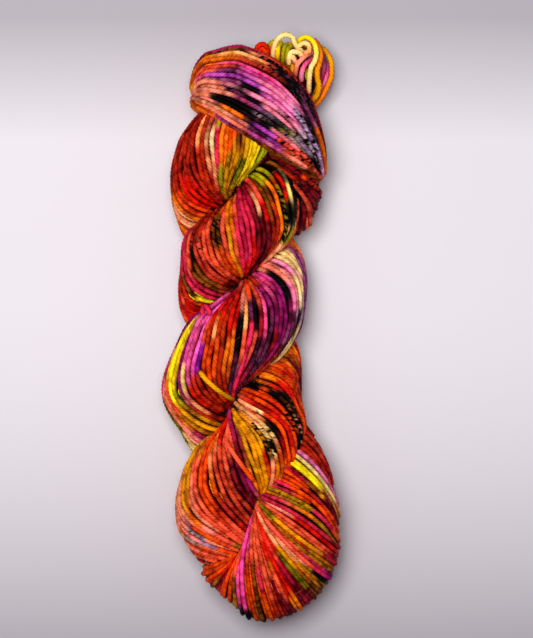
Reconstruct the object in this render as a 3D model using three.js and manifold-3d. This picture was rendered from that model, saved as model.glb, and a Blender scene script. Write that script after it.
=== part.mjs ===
// A hank of yarn, lying flat: one long skein loop that is twisted, folded in half and wound
// round itself, so that two plies run side by side as a rope whose creases lean to the right
// seen from above. The fold is the round bulb at the low end. At the high end the loop of one
// ply is a collar round the other, whose own end peeps out as a tuft of small loops.
//
// Millimetres, +X to the right, +Y along the hank towards the tuft, +Z up. The hank lies on
// z = 0. It is one solid of its wound form and its main twists; the single strands of yarn
// aren't cut into it.

import * as THREE from 'three';
import { mergeVertices } from 'three/addons/utils/BufferGeometryUtils.js';
import Module from 'manifold-3d';

// ---------------------------------------------------------------- driving dimensions
const MID_HEIGHT = 27;          // height of the hank's centre above the surface
const SIDE_NOTCH = 0.28;        // share of the radius lost in a crease at the hank's sides
const TOP_VALLEY = 0.6;         // the same on top and underneath, where the twist pinches
const SQUARENESS = 2.3;         // of the rope's section: 2 is an ellipse, more is fuller
const PLY_FULLNESS = 2.2;       // how broad a ply's crown is
const PLY_ROUNDNESS = 0.55;     // how steeply it falls into the creases
const BUNCHING = 0.09;          // how much closer the columns stand by a crease
const RING_STEP = 4.2;          // spacing of the rope's rings along the hank
const PLY_COLUMNS = 15;         // columns of points across each ply
const ROPE_TOP = 118;           // where the rope ends inside the collar
const ROPE_BOTTOM = -115;       // where it ends inside the bulb

// The rope's axis, its half width and half height, and how full the ply is that runs into the
// bulb, from its top to its bottom.
const ROPE = [
  { y: 129, x: 4.5, half: 18, tall: 18, full: 1 },
  { y: 105, x: -1.5, half: 29, tall: 21, full: 1 },
  { y: 89, x: -5.5, half: 32, tall: 23.5, full: 1 },
  { y: 66, x: -7.5, half: 31.5, tall: 26, full: 1 },
  { y: 44, x: -6, half: 31, tall: 27.5, full: 1 },
  { y: 22, x: -4, half: 30.5, tall: 28, full: 1 },
  { y: -2, x: -5.5, half: 31.5, tall: 28.5, full: 1 },
  { y: -30, x: -9.5, half: 33.5, tall: 28.5, full: 1 },
  { y: -52, x: -2, half: 33.5, tall: 28.5, full: 1 },
  { y: -70, x: 1, half: 37, tall: 28, full: 0.8 },
  { y: -90, x: 3, half: 39, tall: 28, full: 0.7 },
  { y: -103, x: 5, half: 37, tall: 27, full: 0.7 },
  { y: -111, x: 6, half: 32.5, tall: 23, full: 0.7 },
  { y: -116, x: 7, half: 25, tall: 18, full: 0.7 },
];

// The two creases between the plies: how far round the hank each has turned at a height y,
// in degrees, with 0 at the right side, 90 on top and 180 at the left side.
const FIRST_CREASE = [
  { y: 138, turn: -180 },
  { y: 112, turn: -90 },
  { y: 90, turn: 0 },
  { y: 66, turn: 90 },
  { y: 44, turn: 180 },
  { y: 18, turn: 270 },
  { y: -7, turn: 360 },
  { y: -35, turn: 450 },
  { y: -61, turn: 540 },
  { y: -92, turn: 630 },
  { y: -125, turn: 720 },
];
const SECOND_CREASE = [
  { y: 138, turn: -300 },
  { y: 112, turn: -255 },
  { y: 90, turn: -180 },
  { y: 67, turn: -90 },
  { y: 44, turn: 0 },
  { y: 23, turn: 90 },
  { y: 3, turn: 180 },
  { y: -23, turn: 270 },
  { y: -49, turn: 360 },
  { y: -84, turn: 450 },
  { y: -110, turn: 476 },
  { y: -130, turn: 540 },
];

// The bulb: sections that leave the last crease, pass over the top and reach the rim. The
// columns are the places of a section's start, middle and rim, and its rise over the centre.
const BULB = [
  { sx: 22, sy: -50, mx: 24, my: -51, rx: 26, ry: -52, rise: 10 },
  { sx: 21, sy: -53, mx: 29, my: -56, rx: 34, ry: -58.5, rise: 19 },
  { sx: 18, sy: -62, mx: 31, my: -69, rx: 40.5, ry: -78.5, rise: 27.5 },
  { sx: 13, sy: -72, mx: 29, my: -81, rx: 43, ry: -93, rise: 30 },
  { sx: 9, sy: -80, mx: 28, my: -91, rx: 42.5, ry: -104, rise: 30.5 },
  { sx: 7, sy: -86, mx: 23.5, my: -104, rx: 41.5, ry: -115, rise: 30.5 },
  { sx: 5.5, sy: -88, mx: 16, my: -109, rx: 34.5, ry: -126, rise: 30.5 },
  { sx: 4, sy: -88, mx: 10, my: -111, rx: 23.5, ry: -136, rise: 30.5 },
  { sx: 2, sy: -89, mx: 3, my: -113, rx: 10, ry: -141, rise: 30.5 },
  { sx: -1, sy: -94, mx: -3.5, my: -116, rx: -3, ry: -138, rise: 30 },
  { sx: -5, sy: -104, mx: -9, my: -118, rx: -11, ry: -131, rise: 28 },
  { sx: -7, sy: -107, mx: -15, my: -117, rx: -20, ry: -123.5, rise: 24.5 },
  { sx: -8, sy: -106, mx: -17.5, my: -112, rx: -25, ry: -115.5, rise: 22 },
  { sx: -8, sy: -104, mx: -14, my: -106, rx: -20, ry: -108, rise: 15 },
];
const BULB_POINTS = 11;         // points of a section between its start and its rim

// The shoulder: the end of the collar's ply, fanned out below the collar at the right.
const SHOULDER = [
  { sx: 6, sy: 90, mx: 20, my: 83, rx: 33, ry: 74, rise: 17 },
  { sx: 7, sy: 84, mx: 21, my: 75, rx: 34, ry: 65, rise: 18 },
  { sx: 12, sy: 76, mx: 23, my: 68, rx: 31.5, ry: 58, rise: 16 },
  { sx: 15, sy: 70, mx: 24.5, my: 61, rx: 28.5, ry: 50.5, rise: 14 },
  { sx: 15, sy: 66, mx: 22, my: 56, rx: 22, ry: 45, rise: 11 },
  { sx: 14, sy: 62, mx: 17, my: 55, rx: 16, ry: 47, rise: 7 },
];
const SHOULDER_POINTS = 7;

const FAN_STEPS = 2;            // rings for each row of a fan's table
const FAN_SPREAD = 0.9;         // under 1 spaces a section's points closer near its rim
const FAN_FALL = 2.4;           // how late a fan's top falls to the rim
const FAN_DIP = 0.38;           // share of its rise lost in the crease that it starts from
const FAN_DIP_REACH = 4;        // how soon it has climbed out of the crease

// The collar: sections across the band, from its left end to its right end. x and y are the
// place of its lower edge, reach is how far it bulges from there to the upper right, drift is
// how far the bulge leans along the band, and rise is its half thickness.
const COLLAR_LEAN = 31;         // how far the collar slopes down to the right, in degrees
const COLLAR = [
  { along: -0.5, x: -29.5, y: 109.5, drift: 0, reach: 2.5, rise: 4 },
  { along: 1, x: -28.5, y: 109, drift: -3.5, reach: 9, rise: 13 },
  { along: 6, x: -24.5, y: 107, drift: -11, reach: 20, rise: 20 },
  { along: 14, x: -18, y: 103.5, drift: -16, reach: 29.5, rise: 25 },
  { along: 25, x: -8, y: 97, drift: -17, reach: 37, rise: 28 },
  { along: 38, x: 3.5, y: 90, drift: -12, reach: 38.5, rise: 28.5 },
  { along: 50, x: 13.5, y: 84, drift: -6, reach: 33.5, rise: 28 },
  { along: 60, x: 22, y: 79, drift: -3, reach: 25, rise: 25 },
  { along: 68, x: 28.5, y: 75, drift: -1, reach: 15.5, rise: 20 },
  { along: 73, x: 32.5, y: 72, drift: 0, reach: 7, rise: 12 },
  { along: 75, x: 34.5, y: 70.5, drift: 0, reach: 2, rise: 4 },
];
const COLLAR_RINGS = 24;
const COLLAR_POINTS = 22;
const COLLAR_TUCK = 4;          // how far the lower edge is rolled under
const COLLAR_TUCK_RISE = 20;    // the half thickness from which it is rolled under fully
const COLLAR_ROUNDNESS = 0.85;  // under 1 makes the band's top flatter and its edges steeper

// The tuft: the loops of the inner ply that stand out of the collar. A loop runs from its
// first root (ax, ay) to its second (dx, dy), drawn out towards (bx, by) and (cx, cy), and
// climbs from its low height to its high one on the way.
const TUFT = [
  { ax: 10, ay: 130, bx: 12, by: 142.5, cx: 20, cy: 143.5, dx: 26, dy: 132, low: 24, high: 30 },
  { ax: 22, ay: 136, bx: 26, by: 144, cx: 36, cy: 134, dx: 27, dy: 113.5, low: 24, high: 31 },
  { ax: 26, ay: 138.5, bx: 36, by: 138.5, cx: 31, cy: 121, dx: 30, dy: 108.5, low: 20, high: 28 },
  { ax: 26, ay: 136, bx: 39.5, by: 138, cx: 42, cy: 118, dx: 28.5, dy: 106, low: 16, high: 22 },
  { ax: 30, ay: 132, bx: 24.5, by: 130, cx: 21.5, cy: 126, dx: 21.5, dy: 119, low: 26, high: 30 },
  { ax: 30, ay: 129, bx: 25, by: 127.5, cx: 23, cy: 123, dx: 25, dy: 116, low: 25, high: 29 },
  { ax: 14, ay: 136.5, bx: 13, by: 132.5, cx: 14, cy: 129, dx: 16, dy: 124, low: 20, high: 25 },
  { ax: 19.5, ay: 133.5, bx: 16.5, by: 130, cx: 16.5, cy: 125, dx: 18.5, dy: 120, low: 22, high: 28 },
  { ax: 34, ay: 132.5, bx: 36, by: 126, cx: 34, cy: 117.5, dx: 29, dy: 110.5, low: 13, high: 23 },
];
const TUFT_STRAND = 3;          // thickness of a loop
const TUFT_STEP = 2.8;          // spacing of a loop's rings
const TUFT_SIDES = 6;
const TUFT_CORE = { x: 23, y: 121, z: 18, wide: 12.5, long: 16, tall: 13, lean: -12 };

// ---------------------------------------------------------------- curves through tables
// The value of a column at a place: a smooth curve through the rows that never overshoots.
function through(rows, key, column, place) {
  const order = Math.sign(rows[rows.length - 1][key] - rows[0][key]);
  const slope = (i) => (rows[i + 1][column] - rows[i][column]) / (rows[i + 1][key] - rows[i][key]);
  const tangent = (i) => {
    if (i === 0) return slope(0);
    if (i === rows.length - 1) return slope(i - 1);
    const before = slope(i - 1);
    const after = slope(i);
    return before * after > 0 ? 2 * before * after / (before + after) : 0;
  };
  let i = 0;
  while (i < rows.length - 2 && (place - rows[i + 1][key]) * order > 0) i += 1;
  const width = rows[i + 1][key] - rows[i][key];
  const t = THREE.MathUtils.clamp((place - rows[i][key]) / width, 0, 1);
  const share = (2 * t - 3) * t * t + 1;
  return share * rows[i][column] + (1 - share) * rows[i + 1][column]
    + ((t - 2) * t + 1) * t * width * tangent(i) + (t - 1) * t * t * width * tangent(i + 1);
}

// ---------------------------------------------------------------- closed skins
// A closed surface over rings of points, each ring as long as the next, with the two end
// rings filled in from their centres.
function skin(rings) {
  const size = rings[0].length;
  const centre = (ring) => ring.reduce((sum, p) => sum.add(p), new THREE.Vector3()).divideScalar(size);
  const points = [...rings.flat(), centre(rings[0]), centre(rings[rings.length - 1])];
  const firstCentre = points.length - 2;
  const lastCentre = points.length - 1;
  const lastRing = (rings.length - 1) * size;
  const faces = [];
  for (let i = 0; i < rings.length - 1; i += 1) {
    for (let j = 0; j < size; j += 1) {
      const here = i * size + j;
      const next = i * size + (j + 1) % size;
      faces.push(here, next, here + size, next, next + size, here + size);
    }
  }
  for (let j = 0; j < size; j += 1) {
    faces.push(firstCentre, (j + 1) % size, j);
    faces.push(lastCentre, lastRing + j, lastRing + (j + 1) % size);
  }
  const geometry = new THREE.BufferGeometry().setFromPoints(points);
  geometry.setIndex(faces);
  return geometry;
}

// ---------------------------------------------------------------- the rope of two plies
// How full a ply is at a place across it: 0 in the crease on either side, 1 at its crown.
function crown(across) {
  return (1 - Math.abs(2 * across - 1) ** PLY_FULLNESS) ** PLY_ROUNDNESS;
}

// A point of the rope's skin: an oval section whose radius sinks into the two creases.
function ropePoint(y, angle, across, fullness) {
  const cos = Math.cos(angle);
  const sin = Math.sin(angle);
  const wide = Math.abs(cos / through(ROPE, 'y', 'half', y)) ** SQUARENESS;
  const high = Math.abs(sin / through(ROPE, 'y', 'tall', y)) ** SQUARENESS;
  const depth = SIDE_NOTCH * cos * cos + TOP_VALLEY * sin * sin;
  const radius = (wide + high) ** (-1 / SQUARENESS) * fullness * (1 - depth * (1 - crown(across)));
  return new THREE.Vector3(
    through(ROPE, 'y', 'x', y) + radius * cos, y, MID_HEIGHT + radius * sin);
}

// A ring goes round the hank with half its points on each ply, closer near the creases.
function ropeRing(y) {
  const first = through(FIRST_CREASE, 'y', 'turn', y);
  const second = through(SECOND_CREASE, 'y', 'turn', y);
  const full = through(ROPE, 'y', 'full', y);
  const ring = [];
  for (const [from, to, fullest] of [[first, second, full], [second, first, 1]]) {
    const span = THREE.MathUtils.euclideanModulo(to - from, 360);
    for (let j = 0; j < PLY_COLUMNS; j += 1) {
      const even = j / PLY_COLUMNS;
      const across = even - BUNCHING * Math.sin(2 * Math.PI * even);
      const fullness = 1 - (1 - fullest) * Math.sqrt(Math.sin(Math.PI * across));
      const angle = THREE.MathUtils.degToRad(from + span * across);
      ring.push(ropePoint(y, angle, across, fullness));
    }
  }
  return ring;
}

function rope() {
  const count = Math.round((ROPE_TOP - ROPE_BOTTOM) / RING_STEP);
  const rings = [];
  for (let i = 0; i <= count; i += 1) {
    rings.push(ropeRing(THREE.MathUtils.lerp(ROPE_TOP, ROPE_BOTTOM, i / count)));
  }
  return skin(rings);
}

// ---------------------------------------------------------------- bulb and shoulder
// One section of a fan: from its start over the top to the rim, and back underneath.
function fanSection(rows, row, points) {
  const at = (column) => through(rows, 'row', column, row);
  const start = new THREE.Vector2(at('sx'), at('sy'));
  const middle = new THREE.Vector2(at('mx'), at('my'));
  const rim = new THREE.Vector2(at('rx'), at('ry'));
  const pull = middle.multiplyScalar(2).addScaledVector(start, -0.5).addScaledVector(rim, -0.5);
  const arc = new THREE.QuadraticBezierCurve(start, pull, rim);
  const top = [];
  for (let i = 0; i < points; i += 1) {
    const out = Math.sin(i / points * Math.PI / 2) ** FAN_SPREAD;
    const spot = arc.getPoint(out);
    const fall = Math.sqrt(1 - out ** FAN_FALL);
    const dip = 1 - FAN_DIP * (1 - out) ** FAN_DIP_REACH;
    top.push(new THREE.Vector3(spot.x, spot.y, MID_HEIGHT + at('rise') * fall * dip));
  }
  const under = top.map((p) => new THREE.Vector3(p.x, p.y, 2 * MID_HEIGHT - p.z)).reverse();
  return [...top, new THREE.Vector3(rim.x, rim.y, MID_HEIGHT), ...under];
}

function fan(table, points) {
  const rows = table.map((entry, row) => ({ ...entry, row }));
  const count = (rows.length - 1) * FAN_STEPS;
  const rings = [];
  for (let i = count; i >= 0; i -= 1) {
    rings.push(fanSection(rows, i / FAN_STEPS, points));
  }
  return skin(rings);
}

// ---------------------------------------------------------------- the collar
// One section of the band: from its far side over the top to the lower edge, and back under.
function collarSection(along) {
  const at = (column) => through(COLLAR, 'along', column, along);
  const lean = THREE.MathUtils.degToRad(COLLAR_LEAN);
  const tuck = COLLAR_TUCK * Math.min(1, at('rise') / COLLAR_TUCK_RISE);
  const ring = [];
  for (let j = 0; j < COLLAR_POINTS; j += 1) {
    const angle = j / COLLAR_POINTS * 2 * Math.PI;
    const out = Math.cos(angle);
    const up = Math.sin(angle);
    const reach = out > 0 ? at('reach') * out : tuck * out;
    const drift = out > 0 ? at('drift') * out : 0;
    ring.push(new THREE.Vector3(
      at('x') + drift * Math.cos(lean) + reach * Math.sin(lean),
      at('y') - drift * Math.sin(lean) + reach * Math.cos(lean),
      MID_HEIGHT + at('rise') * Math.sign(up) * Math.abs(up) ** COLLAR_ROUNDNESS));
  }
  return ring;
}

// The sections stand closer near the band's two ends, where it turns round the hank's sides.
function collar() {
  const first = COLLAR[0].along;
  const last = COLLAR[COLLAR.length - 1].along;
  const rings = [];
  for (let i = 0; i <= COLLAR_RINGS; i += 1) {
    const share = (1 - Math.cos(Math.PI * i / COLLAR_RINGS)) / 2;
    rings.push(collarSection(THREE.MathUtils.lerp(first, last, share)));
  }
  return skin(rings);
}

// ---------------------------------------------------------------- the tuft
// One loop: rings round a curve, each keeping its heading from the one before.
function loop({ ax, ay, bx, by, cx, cy, dx, dy, low, high }) {
  const plan = new THREE.CubicBezierCurve(
    new THREE.Vector2(ax, ay), new THREE.Vector2(bx, by),
    new THREE.Vector2(cx, cy), new THREE.Vector2(dx, dy));
  const stations = plan.getPoints(8).map(({ x, y }, i, all) => new THREE.Vector3(
    x, y, low + (high - low) * Math.sin(Math.PI * i / (all.length - 1))));
  const curve = new THREE.CatmullRomCurve3(stations);
  const count = Math.ceil(curve.getLength() / TUFT_STEP);
  const frames = curve.computeFrenetFrames(count, false);
  const rings = [];
  for (let i = 0; i <= count; i += 1) {
    const centre = curve.getPointAt(i / count);
    const ring = [];
    for (let j = 0; j < TUFT_SIDES; j += 1) {
      const angle = 2 * Math.PI * j / TUFT_SIDES;
      ring.push(centre.clone()
        .addScaledVector(frames.normals[i], TUFT_STRAND / 2 * Math.cos(angle))
        .addScaledVector(frames.binormals[i], TUFT_STRAND / 2 * Math.sin(angle)));
    }
    rings.push(ring);
  }
  return skin(rings);
}

// The mass of strands that the tuft's loops lie on.
function tuftCore() {
  const core = new THREE.SphereGeometry(1, 16, 10);
  core.scale(TUFT_CORE.wide, TUFT_CORE.long, TUFT_CORE.tall);
  core.rotateZ(THREE.MathUtils.degToRad(TUFT_CORE.lean));
  core.translate(TUFT_CORE.x, TUFT_CORE.y, TUFT_CORE.z);
  return core;
}

// ---------------------------------------------------------------- joining
const wasm = await Module();
wasm.setup();

function solid(geometry) {
  const bare = geometry.clone();
  bare.deleteAttribute('normal');
  bare.deleteAttribute('uv');
  const merged = mergeVertices(bare);
  return new wasm.Manifold(new wasm.Mesh({
    numProp: 3,
    vertProperties: new Float32Array(merged.attributes.position.array),
    triVerts: new Uint32Array(merged.index.array),
  }));
}

function geometryOf(manifold) {
  const mesh = manifold.getMesh();
  const geometry = new THREE.BufferGeometry();
  geometry.setAttribute('position', new THREE.BufferAttribute(mesh.vertProperties, 3));
  geometry.setIndex(new THREE.BufferAttribute(mesh.triVerts, 1));
  geometry.computeVertexNormals();
  return geometry;
}

// A block over the surface that the hank lies on: what is left inside it has flat spots.
function overSurface() {
  const side = 400;
  return solid(new THREE.BoxGeometry(side, side, side).translate(0, 0, side / 2));
}

function hank() {
  const pieces = [
    rope(),
    fan(BULB, BULB_POINTS),
    fan(SHOULDER, SHOULDER_POINTS),
    collar(),
    tuftCore(),
    ...TUFT.map(loop),
  ];
  const joined = pieces.map(solid).reduce((whole, piece) => whole.add(piece));
  const yarn = new THREE.MeshStandardMaterial({ color: 0xc0492f, roughness: 0.95, metalness: 0 });
  const mesh = new THREE.Mesh(geometryOf(joined.intersect(overSurface())), yarn);
  mesh.name = 'hank';
  return mesh;
}

const group = new THREE.Group();
group.add(hank());
export default group;
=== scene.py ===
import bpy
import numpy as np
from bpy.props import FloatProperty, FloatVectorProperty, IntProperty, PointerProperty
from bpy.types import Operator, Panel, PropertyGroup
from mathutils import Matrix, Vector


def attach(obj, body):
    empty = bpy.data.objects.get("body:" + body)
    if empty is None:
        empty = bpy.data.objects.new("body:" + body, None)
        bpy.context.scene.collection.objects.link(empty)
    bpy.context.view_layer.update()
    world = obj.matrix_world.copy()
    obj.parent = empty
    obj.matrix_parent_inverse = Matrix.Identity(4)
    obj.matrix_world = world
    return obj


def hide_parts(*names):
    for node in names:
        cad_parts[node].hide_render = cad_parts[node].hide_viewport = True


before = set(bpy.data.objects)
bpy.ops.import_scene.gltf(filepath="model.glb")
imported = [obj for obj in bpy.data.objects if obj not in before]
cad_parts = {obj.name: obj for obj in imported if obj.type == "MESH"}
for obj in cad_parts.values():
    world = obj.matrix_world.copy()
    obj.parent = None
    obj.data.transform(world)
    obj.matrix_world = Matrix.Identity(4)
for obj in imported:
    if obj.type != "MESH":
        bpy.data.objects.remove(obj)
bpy.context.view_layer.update()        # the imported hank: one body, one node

# A twisted hank of hand-dyed yarn, laid flat. Every strand of its surface is modelled: the two
# plies of the rope, the bulb where the skein is folded, the collar that one ply makes round
# the other, the shoulder below the collar, the tuft of small loops, a few strays and the loose
# hairs. Lengths in the tables are millimetres in the part's own frame: +X right, +Y along the
# hank towards the tuft, +Z up, the surface at z = 0. Angles round the rope start at +X, and
# 90 degrees is up. Colours are dyes by name, splashed along the strands by a given list.

bl_info = {
    "name": "Yarn hank",
    "version": (1, 0, 0),
    "blender": (4, 5, 0),
    "location": "View3D > Sidebar > Yarn",
    "description": "Lays the plied, hand-dyed strands of a twisted hank over its solid",
    "category": "Add Mesh",
}

MM = 0.001
SEED = 20


def table(names, *rows):
    """Rows of numbers as one array for each named column."""
    return dict(zip(names.split(), np.array(rows, float).T))


# ---------------------------------------------------------------- the form, as in the solid
MID = 27.0                  # height of the hank's centre
SIDE_NOTCH = 0.28           # share of the radius lost in a crease at the sides
TOP_VALLEY = 0.60           # the same on top and underneath
SQUARENESS = 2.3            # of the rope's section: 2 is an ellipse, and more is squarer
PLY_FULLNESS = 2.2          # how flat a ply is at its middle, and how it turns into a crease
PLY_ROUNDNESS = 0.55
ROPE_ENDS = (-112.0, 112.0)     # where the rope's strands end, inside the bulb and the collar

# The rope at each y: its middle, half its width and height, and how full the first ply is.
ROPE = table(
    "y x half tall full",
    (129, 4.5, 18, 18, 1), (105, -1.5, 29, 21, 1), (89, -5.5, 32, 23.5, 1), (66, -7.5, 31.5, 26, 1),
    (44, -6, 31, 27.5, 1), (22, -4, 30.5, 28, 1), (-2, -5.5, 31.5, 28.5, 1), (-30, -9.5, 33.5, 28.5, 1),
    (-52, -2, 33.5, 28.5, 1), (-70, 1, 37, 28, 0.8), (-90, 3, 39, 28, 0.7), (-103, 5, 37, 27, 0.7),
    (-111, 6, 32.5, 23, 0.7), (-116, 7, 25, 18, 0.7),
)
# The creases between the two plies wind round the rope.
FIRST_CREASE = table(
    "y turn",
    (138, -180), (112, -90), (90, 0), (66, 90), (44, 180), (18, 270), (-7, 360), (-35, 450),
    (-61, 540), (-92, 630), (-125, 720),
)
SECOND_CREASE = table(
    "y turn",
    (138, -330), (118, -245), (101, -180), (69, -90), (44, 0), (23, 90), (3, 180), (-23, 270),
    (-49, 360), (-72, 405), (-87, 450), (-111, 476), (-130, 540),
)
# The fans: where each row starts, its middle and the rim in plan, and its height on top.
BULB = table(
    "row sx sy mx my rx ry rise",
    (-3, 24, -43, 27.5, -46.5, 31, -51, 0.6), (-2, 23.5, -44, 29, -49.5, 34, -57, 4),
    (-1, 22.5, -46, 31, -53, 37, -64.5, 8), (0, 21, -48, 32.5, -57, 39.5, -72, 12),
    (1, 19, -54, 33.5, -66, 42, -84, 20), (2, 15, -60, 34, -75, 43, -93, 26),
    (3, 9, -70, 30, -81, 43, -99, 29.5), (4, 4, -79, 25, -89, 43, -105, 30.5),
    (5, 2.5, -82, 21.5, -96, 42, -112, 30.5), (6, 2, -84, 16.5, -101.5, 38, -121, 30.5),
    (7, 1.5, -86, 11, -106, 28.5, -132, 30.5), (8, 1, -87, 6, -111, 15.5, -139.5, 30.5),
    (9, 0.5, -88, -0.5, -112, 4.5, -141, 30.5), (10, 0, -90, -5.5, -113, -3.5, -138.5, 30),
    (11, -2, -96, -9, -115, -10, -132.5, 28.5), (12, -5, -104, -13, -116, -17.5, -126, 26),
    (13, -7.5, -106, -16.5, -112.5, -24.5, -116.5, 22), (14, -8, -104, -14, -106, -20, -108, 15),
)
SHOULDER = table(
    "row sx sy mx my rx ry rise",
    (0, 4, 90, 19, 83, 33, 74, 18), (1, 4, 85, 20, 76, 34, 65, 19), (2, 7, 79, 23, 68.5, 32, 57, 18),
    (3, 12, 73, 25, 62, 28.5, 49.5, 16), (4, 15, 69, 24, 57, 21.5, 44, 13),
    (5, 15, 64, 19.5, 55, 15.5, 45, 9),
)
FAN_FALL = 2.4              # how late a fan falls away on its way to the rim
FAN_DIP = 0.38              # how deep its start lies, and how close to the start that is
FAN_DIP_REACH = 4
COLLAR_LEAN = np.radians(31)    # how far the collar is turned from straight across
COLLAR_TUCK = 4.0           # how far its lower edge reaches, where it is this high or more
COLLAR_TUCK_RISE = 20.0
COLLAR_ROUNDNESS = 0.85     # of its section: 1 is an ellipse, and less is fuller
# The collar from end to end: its line, and how far it sags, reaches up and is high.
COLLAR = table(
    "along x y drift reach rise",
    (-0.5, -29.5, 109.5, -1.5, 2.5, 4), (1, -28.5, 109, -6, 9, 13), (6, -24.5, 107, -12.5, 18, 20),
    (14, -18, 103.5, -17, 25, 25), (25, -8, 97, -17, 35.5, 28), (38, 3.5, 90, -12, 38, 28.5),
    (50, 13.5, 84, -6, 33.5, 28), (60, 22, 79, -3, 25, 25), (68, 28.5, 75, -1, 15.5, 20),
    (73, 32.5, 72, 0, 7, 12), (75, 34.5, 70.5, 0, 2, 4),
)

# ---------------------------------------------------------------- how the strands lie
ROPE_STRANDS = 72           # round the rope, round each fan's rim and round the collar's band
BULB_STRANDS = 82
SHOULDER_STRANDS = 20
COLLAR_STRANDS = 64
PULL = 22.0                 # degrees that a rope strand is drawn towards the pinch at its ends
UPPER_BEND = 3              # how late on its way to the upper end that happens
FIRST_GATHER = table(       # the share of this at the upper end, and where the lower pinch lies
    "turn share swing", (-200, 0.1, 0), (-20, 0.35, 0), (180, 0.4, 0), (330, 1, 0), (720, 1, 0),
)
SECOND_GATHER = table(
    "turn share swing", (-345, 0.05, 26), (-190, 0.1, 26), (0, 1, 0), (720, 1, 0),
)
FIRST_LEAN = table(         # degrees that the first ply's strands lean back over their length
    "turn lean", (-180, 0), (0, 4), (90, 9), (270, 10), (400, 22), (440, 20), (462, 13), (480, 4),
    (496, 0), (575, 0), (620, 26), (655, 22), (700, 0), (720, 0),
)
# How a lobe turns in at its lower end: the share of this rule, the degrees that its strands are
# drawn towards the pinch and how late that happens.
LOBE = "turn own draw bend"
LAST_LOBE = table(          # the lowest lobe of the first ply
    LOBE,
    (440, 0, 0, 3), (460, 0.6, -9, 2.4), (478, 1, -20, 2), (496, 1, -31, 1.9), (512, 1, -43, 1.75),
    (540, 1, -65, 1.8), (560, 1, -75, 1.8), (580, 1, -74, 1.8), (620, 1, -34, 1.5),
    (660, 0.5, -4, 2), (690, 0, 0, 3),
)
TOP_LOBE = table(           # the highest lobe of the second ply
    LOBE,
    (-345, 1, 4, 2), (-302, 1, 6, 2), (-297, 1, 14, 2.2), (-293, 1, 29, 2.4), (-287, 1, 30, 2.2),
    (-277, 1, 24, 1.8), (-263, 1, 18, 1.7), (-244, 1, 6, 2), (-235, 1, 3, 2), (-210, 1, -14, 2.4),
    (-190, 1, -20, 3), (-170, 0, 0, 3), (400, 0, 0, 3),
)
SECOND_LEAN = table(        # degrees that the second ply's strands lean back
    "turn lean",
    (-345, 8), (-294, 10), (-277, 11), (-263, 17), (-244, 24), (-235, 32), (-220, 30), (-205, 16),
    (-188, 0), (-180, 0), (400, 0),
)
CROWD_LEVELS = np.array([0, 2, 1, 3])   # how deep each of four neighbours goes where they bunch
CROWD_DEPTH = 1.5
CROWD_PITCH = 2.5           # spacing below which they bunch
BETWEEN_PITCH = (3.1, 4.3)  # spacing past which a strand from below shows between two others
BETWEEN_DEPTH = 2.2         # how far below them it waits
BETWEEN_SHOWN = 0.02        # how far it has to be up to be made at all
TUCK_LENGTH = 5.0           # at the collar's poles the last of a strand goes under
TUCK_DEPTH = 3.0
EXTENSION = 3.0             # elsewhere a strand runs on under its neighbours
FLOOR_RADII = 1.14          # a strand's middle stays this many radii over the surface


def through(tab, key, column, place):
    """The column's value at a place: a cubic through the rows that never overshoots, whose
    slope at a row is the harmonic mean of the slopes on its two sides."""
    x, v = tab[key], tab[column]
    if x[0] > x[-1]:
        x, v = x[::-1], v[::-1]
    step = np.diff(x)
    slope = np.diff(v) / step
    tangent = np.concatenate([slope[:1], np.zeros(len(x) - 2), slope[-1:]])
    before, after = slope[:-1], slope[1:]
    same = before * after > 0
    tangent[1:-1][same] = 2 * before[same] * after[same] / (before[same] + after[same])
    place = np.asarray(place, float)
    i = np.clip(np.searchsorted(x, place) - 1, 0, len(step) - 1)
    t = np.clip((place - x[i]) / step[i], 0, 1)
    share = (2 * t - 3) * t * t + 1
    return (share * v[i] + (1 - share) * v[i + 1]
            + step[i] * t * ((t - 2) * t + 1) * tangent[i]
            + step[i] * t * t * (t - 1) * tangent[i + 1])


def read(tab, key, columns, place):
    """The values of several columns at a place."""
    return [through(tab, key, column, place) for column in columns.split()]


def ease(value, low, high):
    """0 below low, 1 above high and a smooth step between."""
    t = np.clip((value - low) / (high - low), 0, 1)
    return t * t * (3 - 2 * t)


def unit(vectors):
    """The vectors at length one."""
    return vectors / (np.linalg.norm(vectors, axis=-1, keepdims=True) + 1e-9)


def run_length(lines):
    """How far along its line each point lies, for one line or for several."""
    steps = np.linalg.norm(np.diff(lines, axis=-2), axis=-1)
    return np.concatenate([np.zeros_like(steps[..., :1]), np.cumsum(steps, axis=-1)], axis=-1)


# ---------------------------------------------------------------- the skins of the hank
def crown(across):
    """How full a ply is: 0 in the crease at either side of it, 1 at its middle."""
    return np.clip(1 - np.abs(2 * across - 1) ** PLY_FULLNESS, 0, 1) ** PLY_ROUNDNESS


def rope_skin(y, turn):
    """The rope at y along the hank and turn degrees round it: an oval section whose radius
    sinks towards the two creases, deeper on top than at the sides. The ply from the first
    crease to the second is only as full as the rope's table says."""
    first = through(FIRST_CREASE, "y", "turn", y)
    second = through(SECOND_CREASE, "y", "turn", y)
    span = np.mod(second - first, 360.0)
    ahead = np.mod(turn - first, 360.0)
    across = np.where(ahead < span, ahead / span, (ahead - span) / (360.0 - span))
    full = np.where(ahead < span, through(ROPE, "y", "full", y), 1.0)
    full = 1 - (1 - full) * np.sqrt(np.sin(np.pi * np.clip(across, 0, 1)))
    cos, sin = np.cos(np.radians(turn)), np.sin(np.radians(turn))
    wide = np.abs(cos / through(ROPE, "y", "half", y)) ** SQUARENESS
    high = np.abs(sin / through(ROPE, "y", "tall", y)) ** SQUARENESS
    depth = SIDE_NOTCH * cos ** 2 + TOP_VALLEY * sin ** 2
    radius = (wide + high) ** (-1 / SQUARENESS) * full * (1 - depth * (1 - crown(across)))
    return np.stack([through(ROPE, "y", "x", y) + radius * cos, y + 0 * radius,
                     MID + radius * sin], -1)


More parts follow.
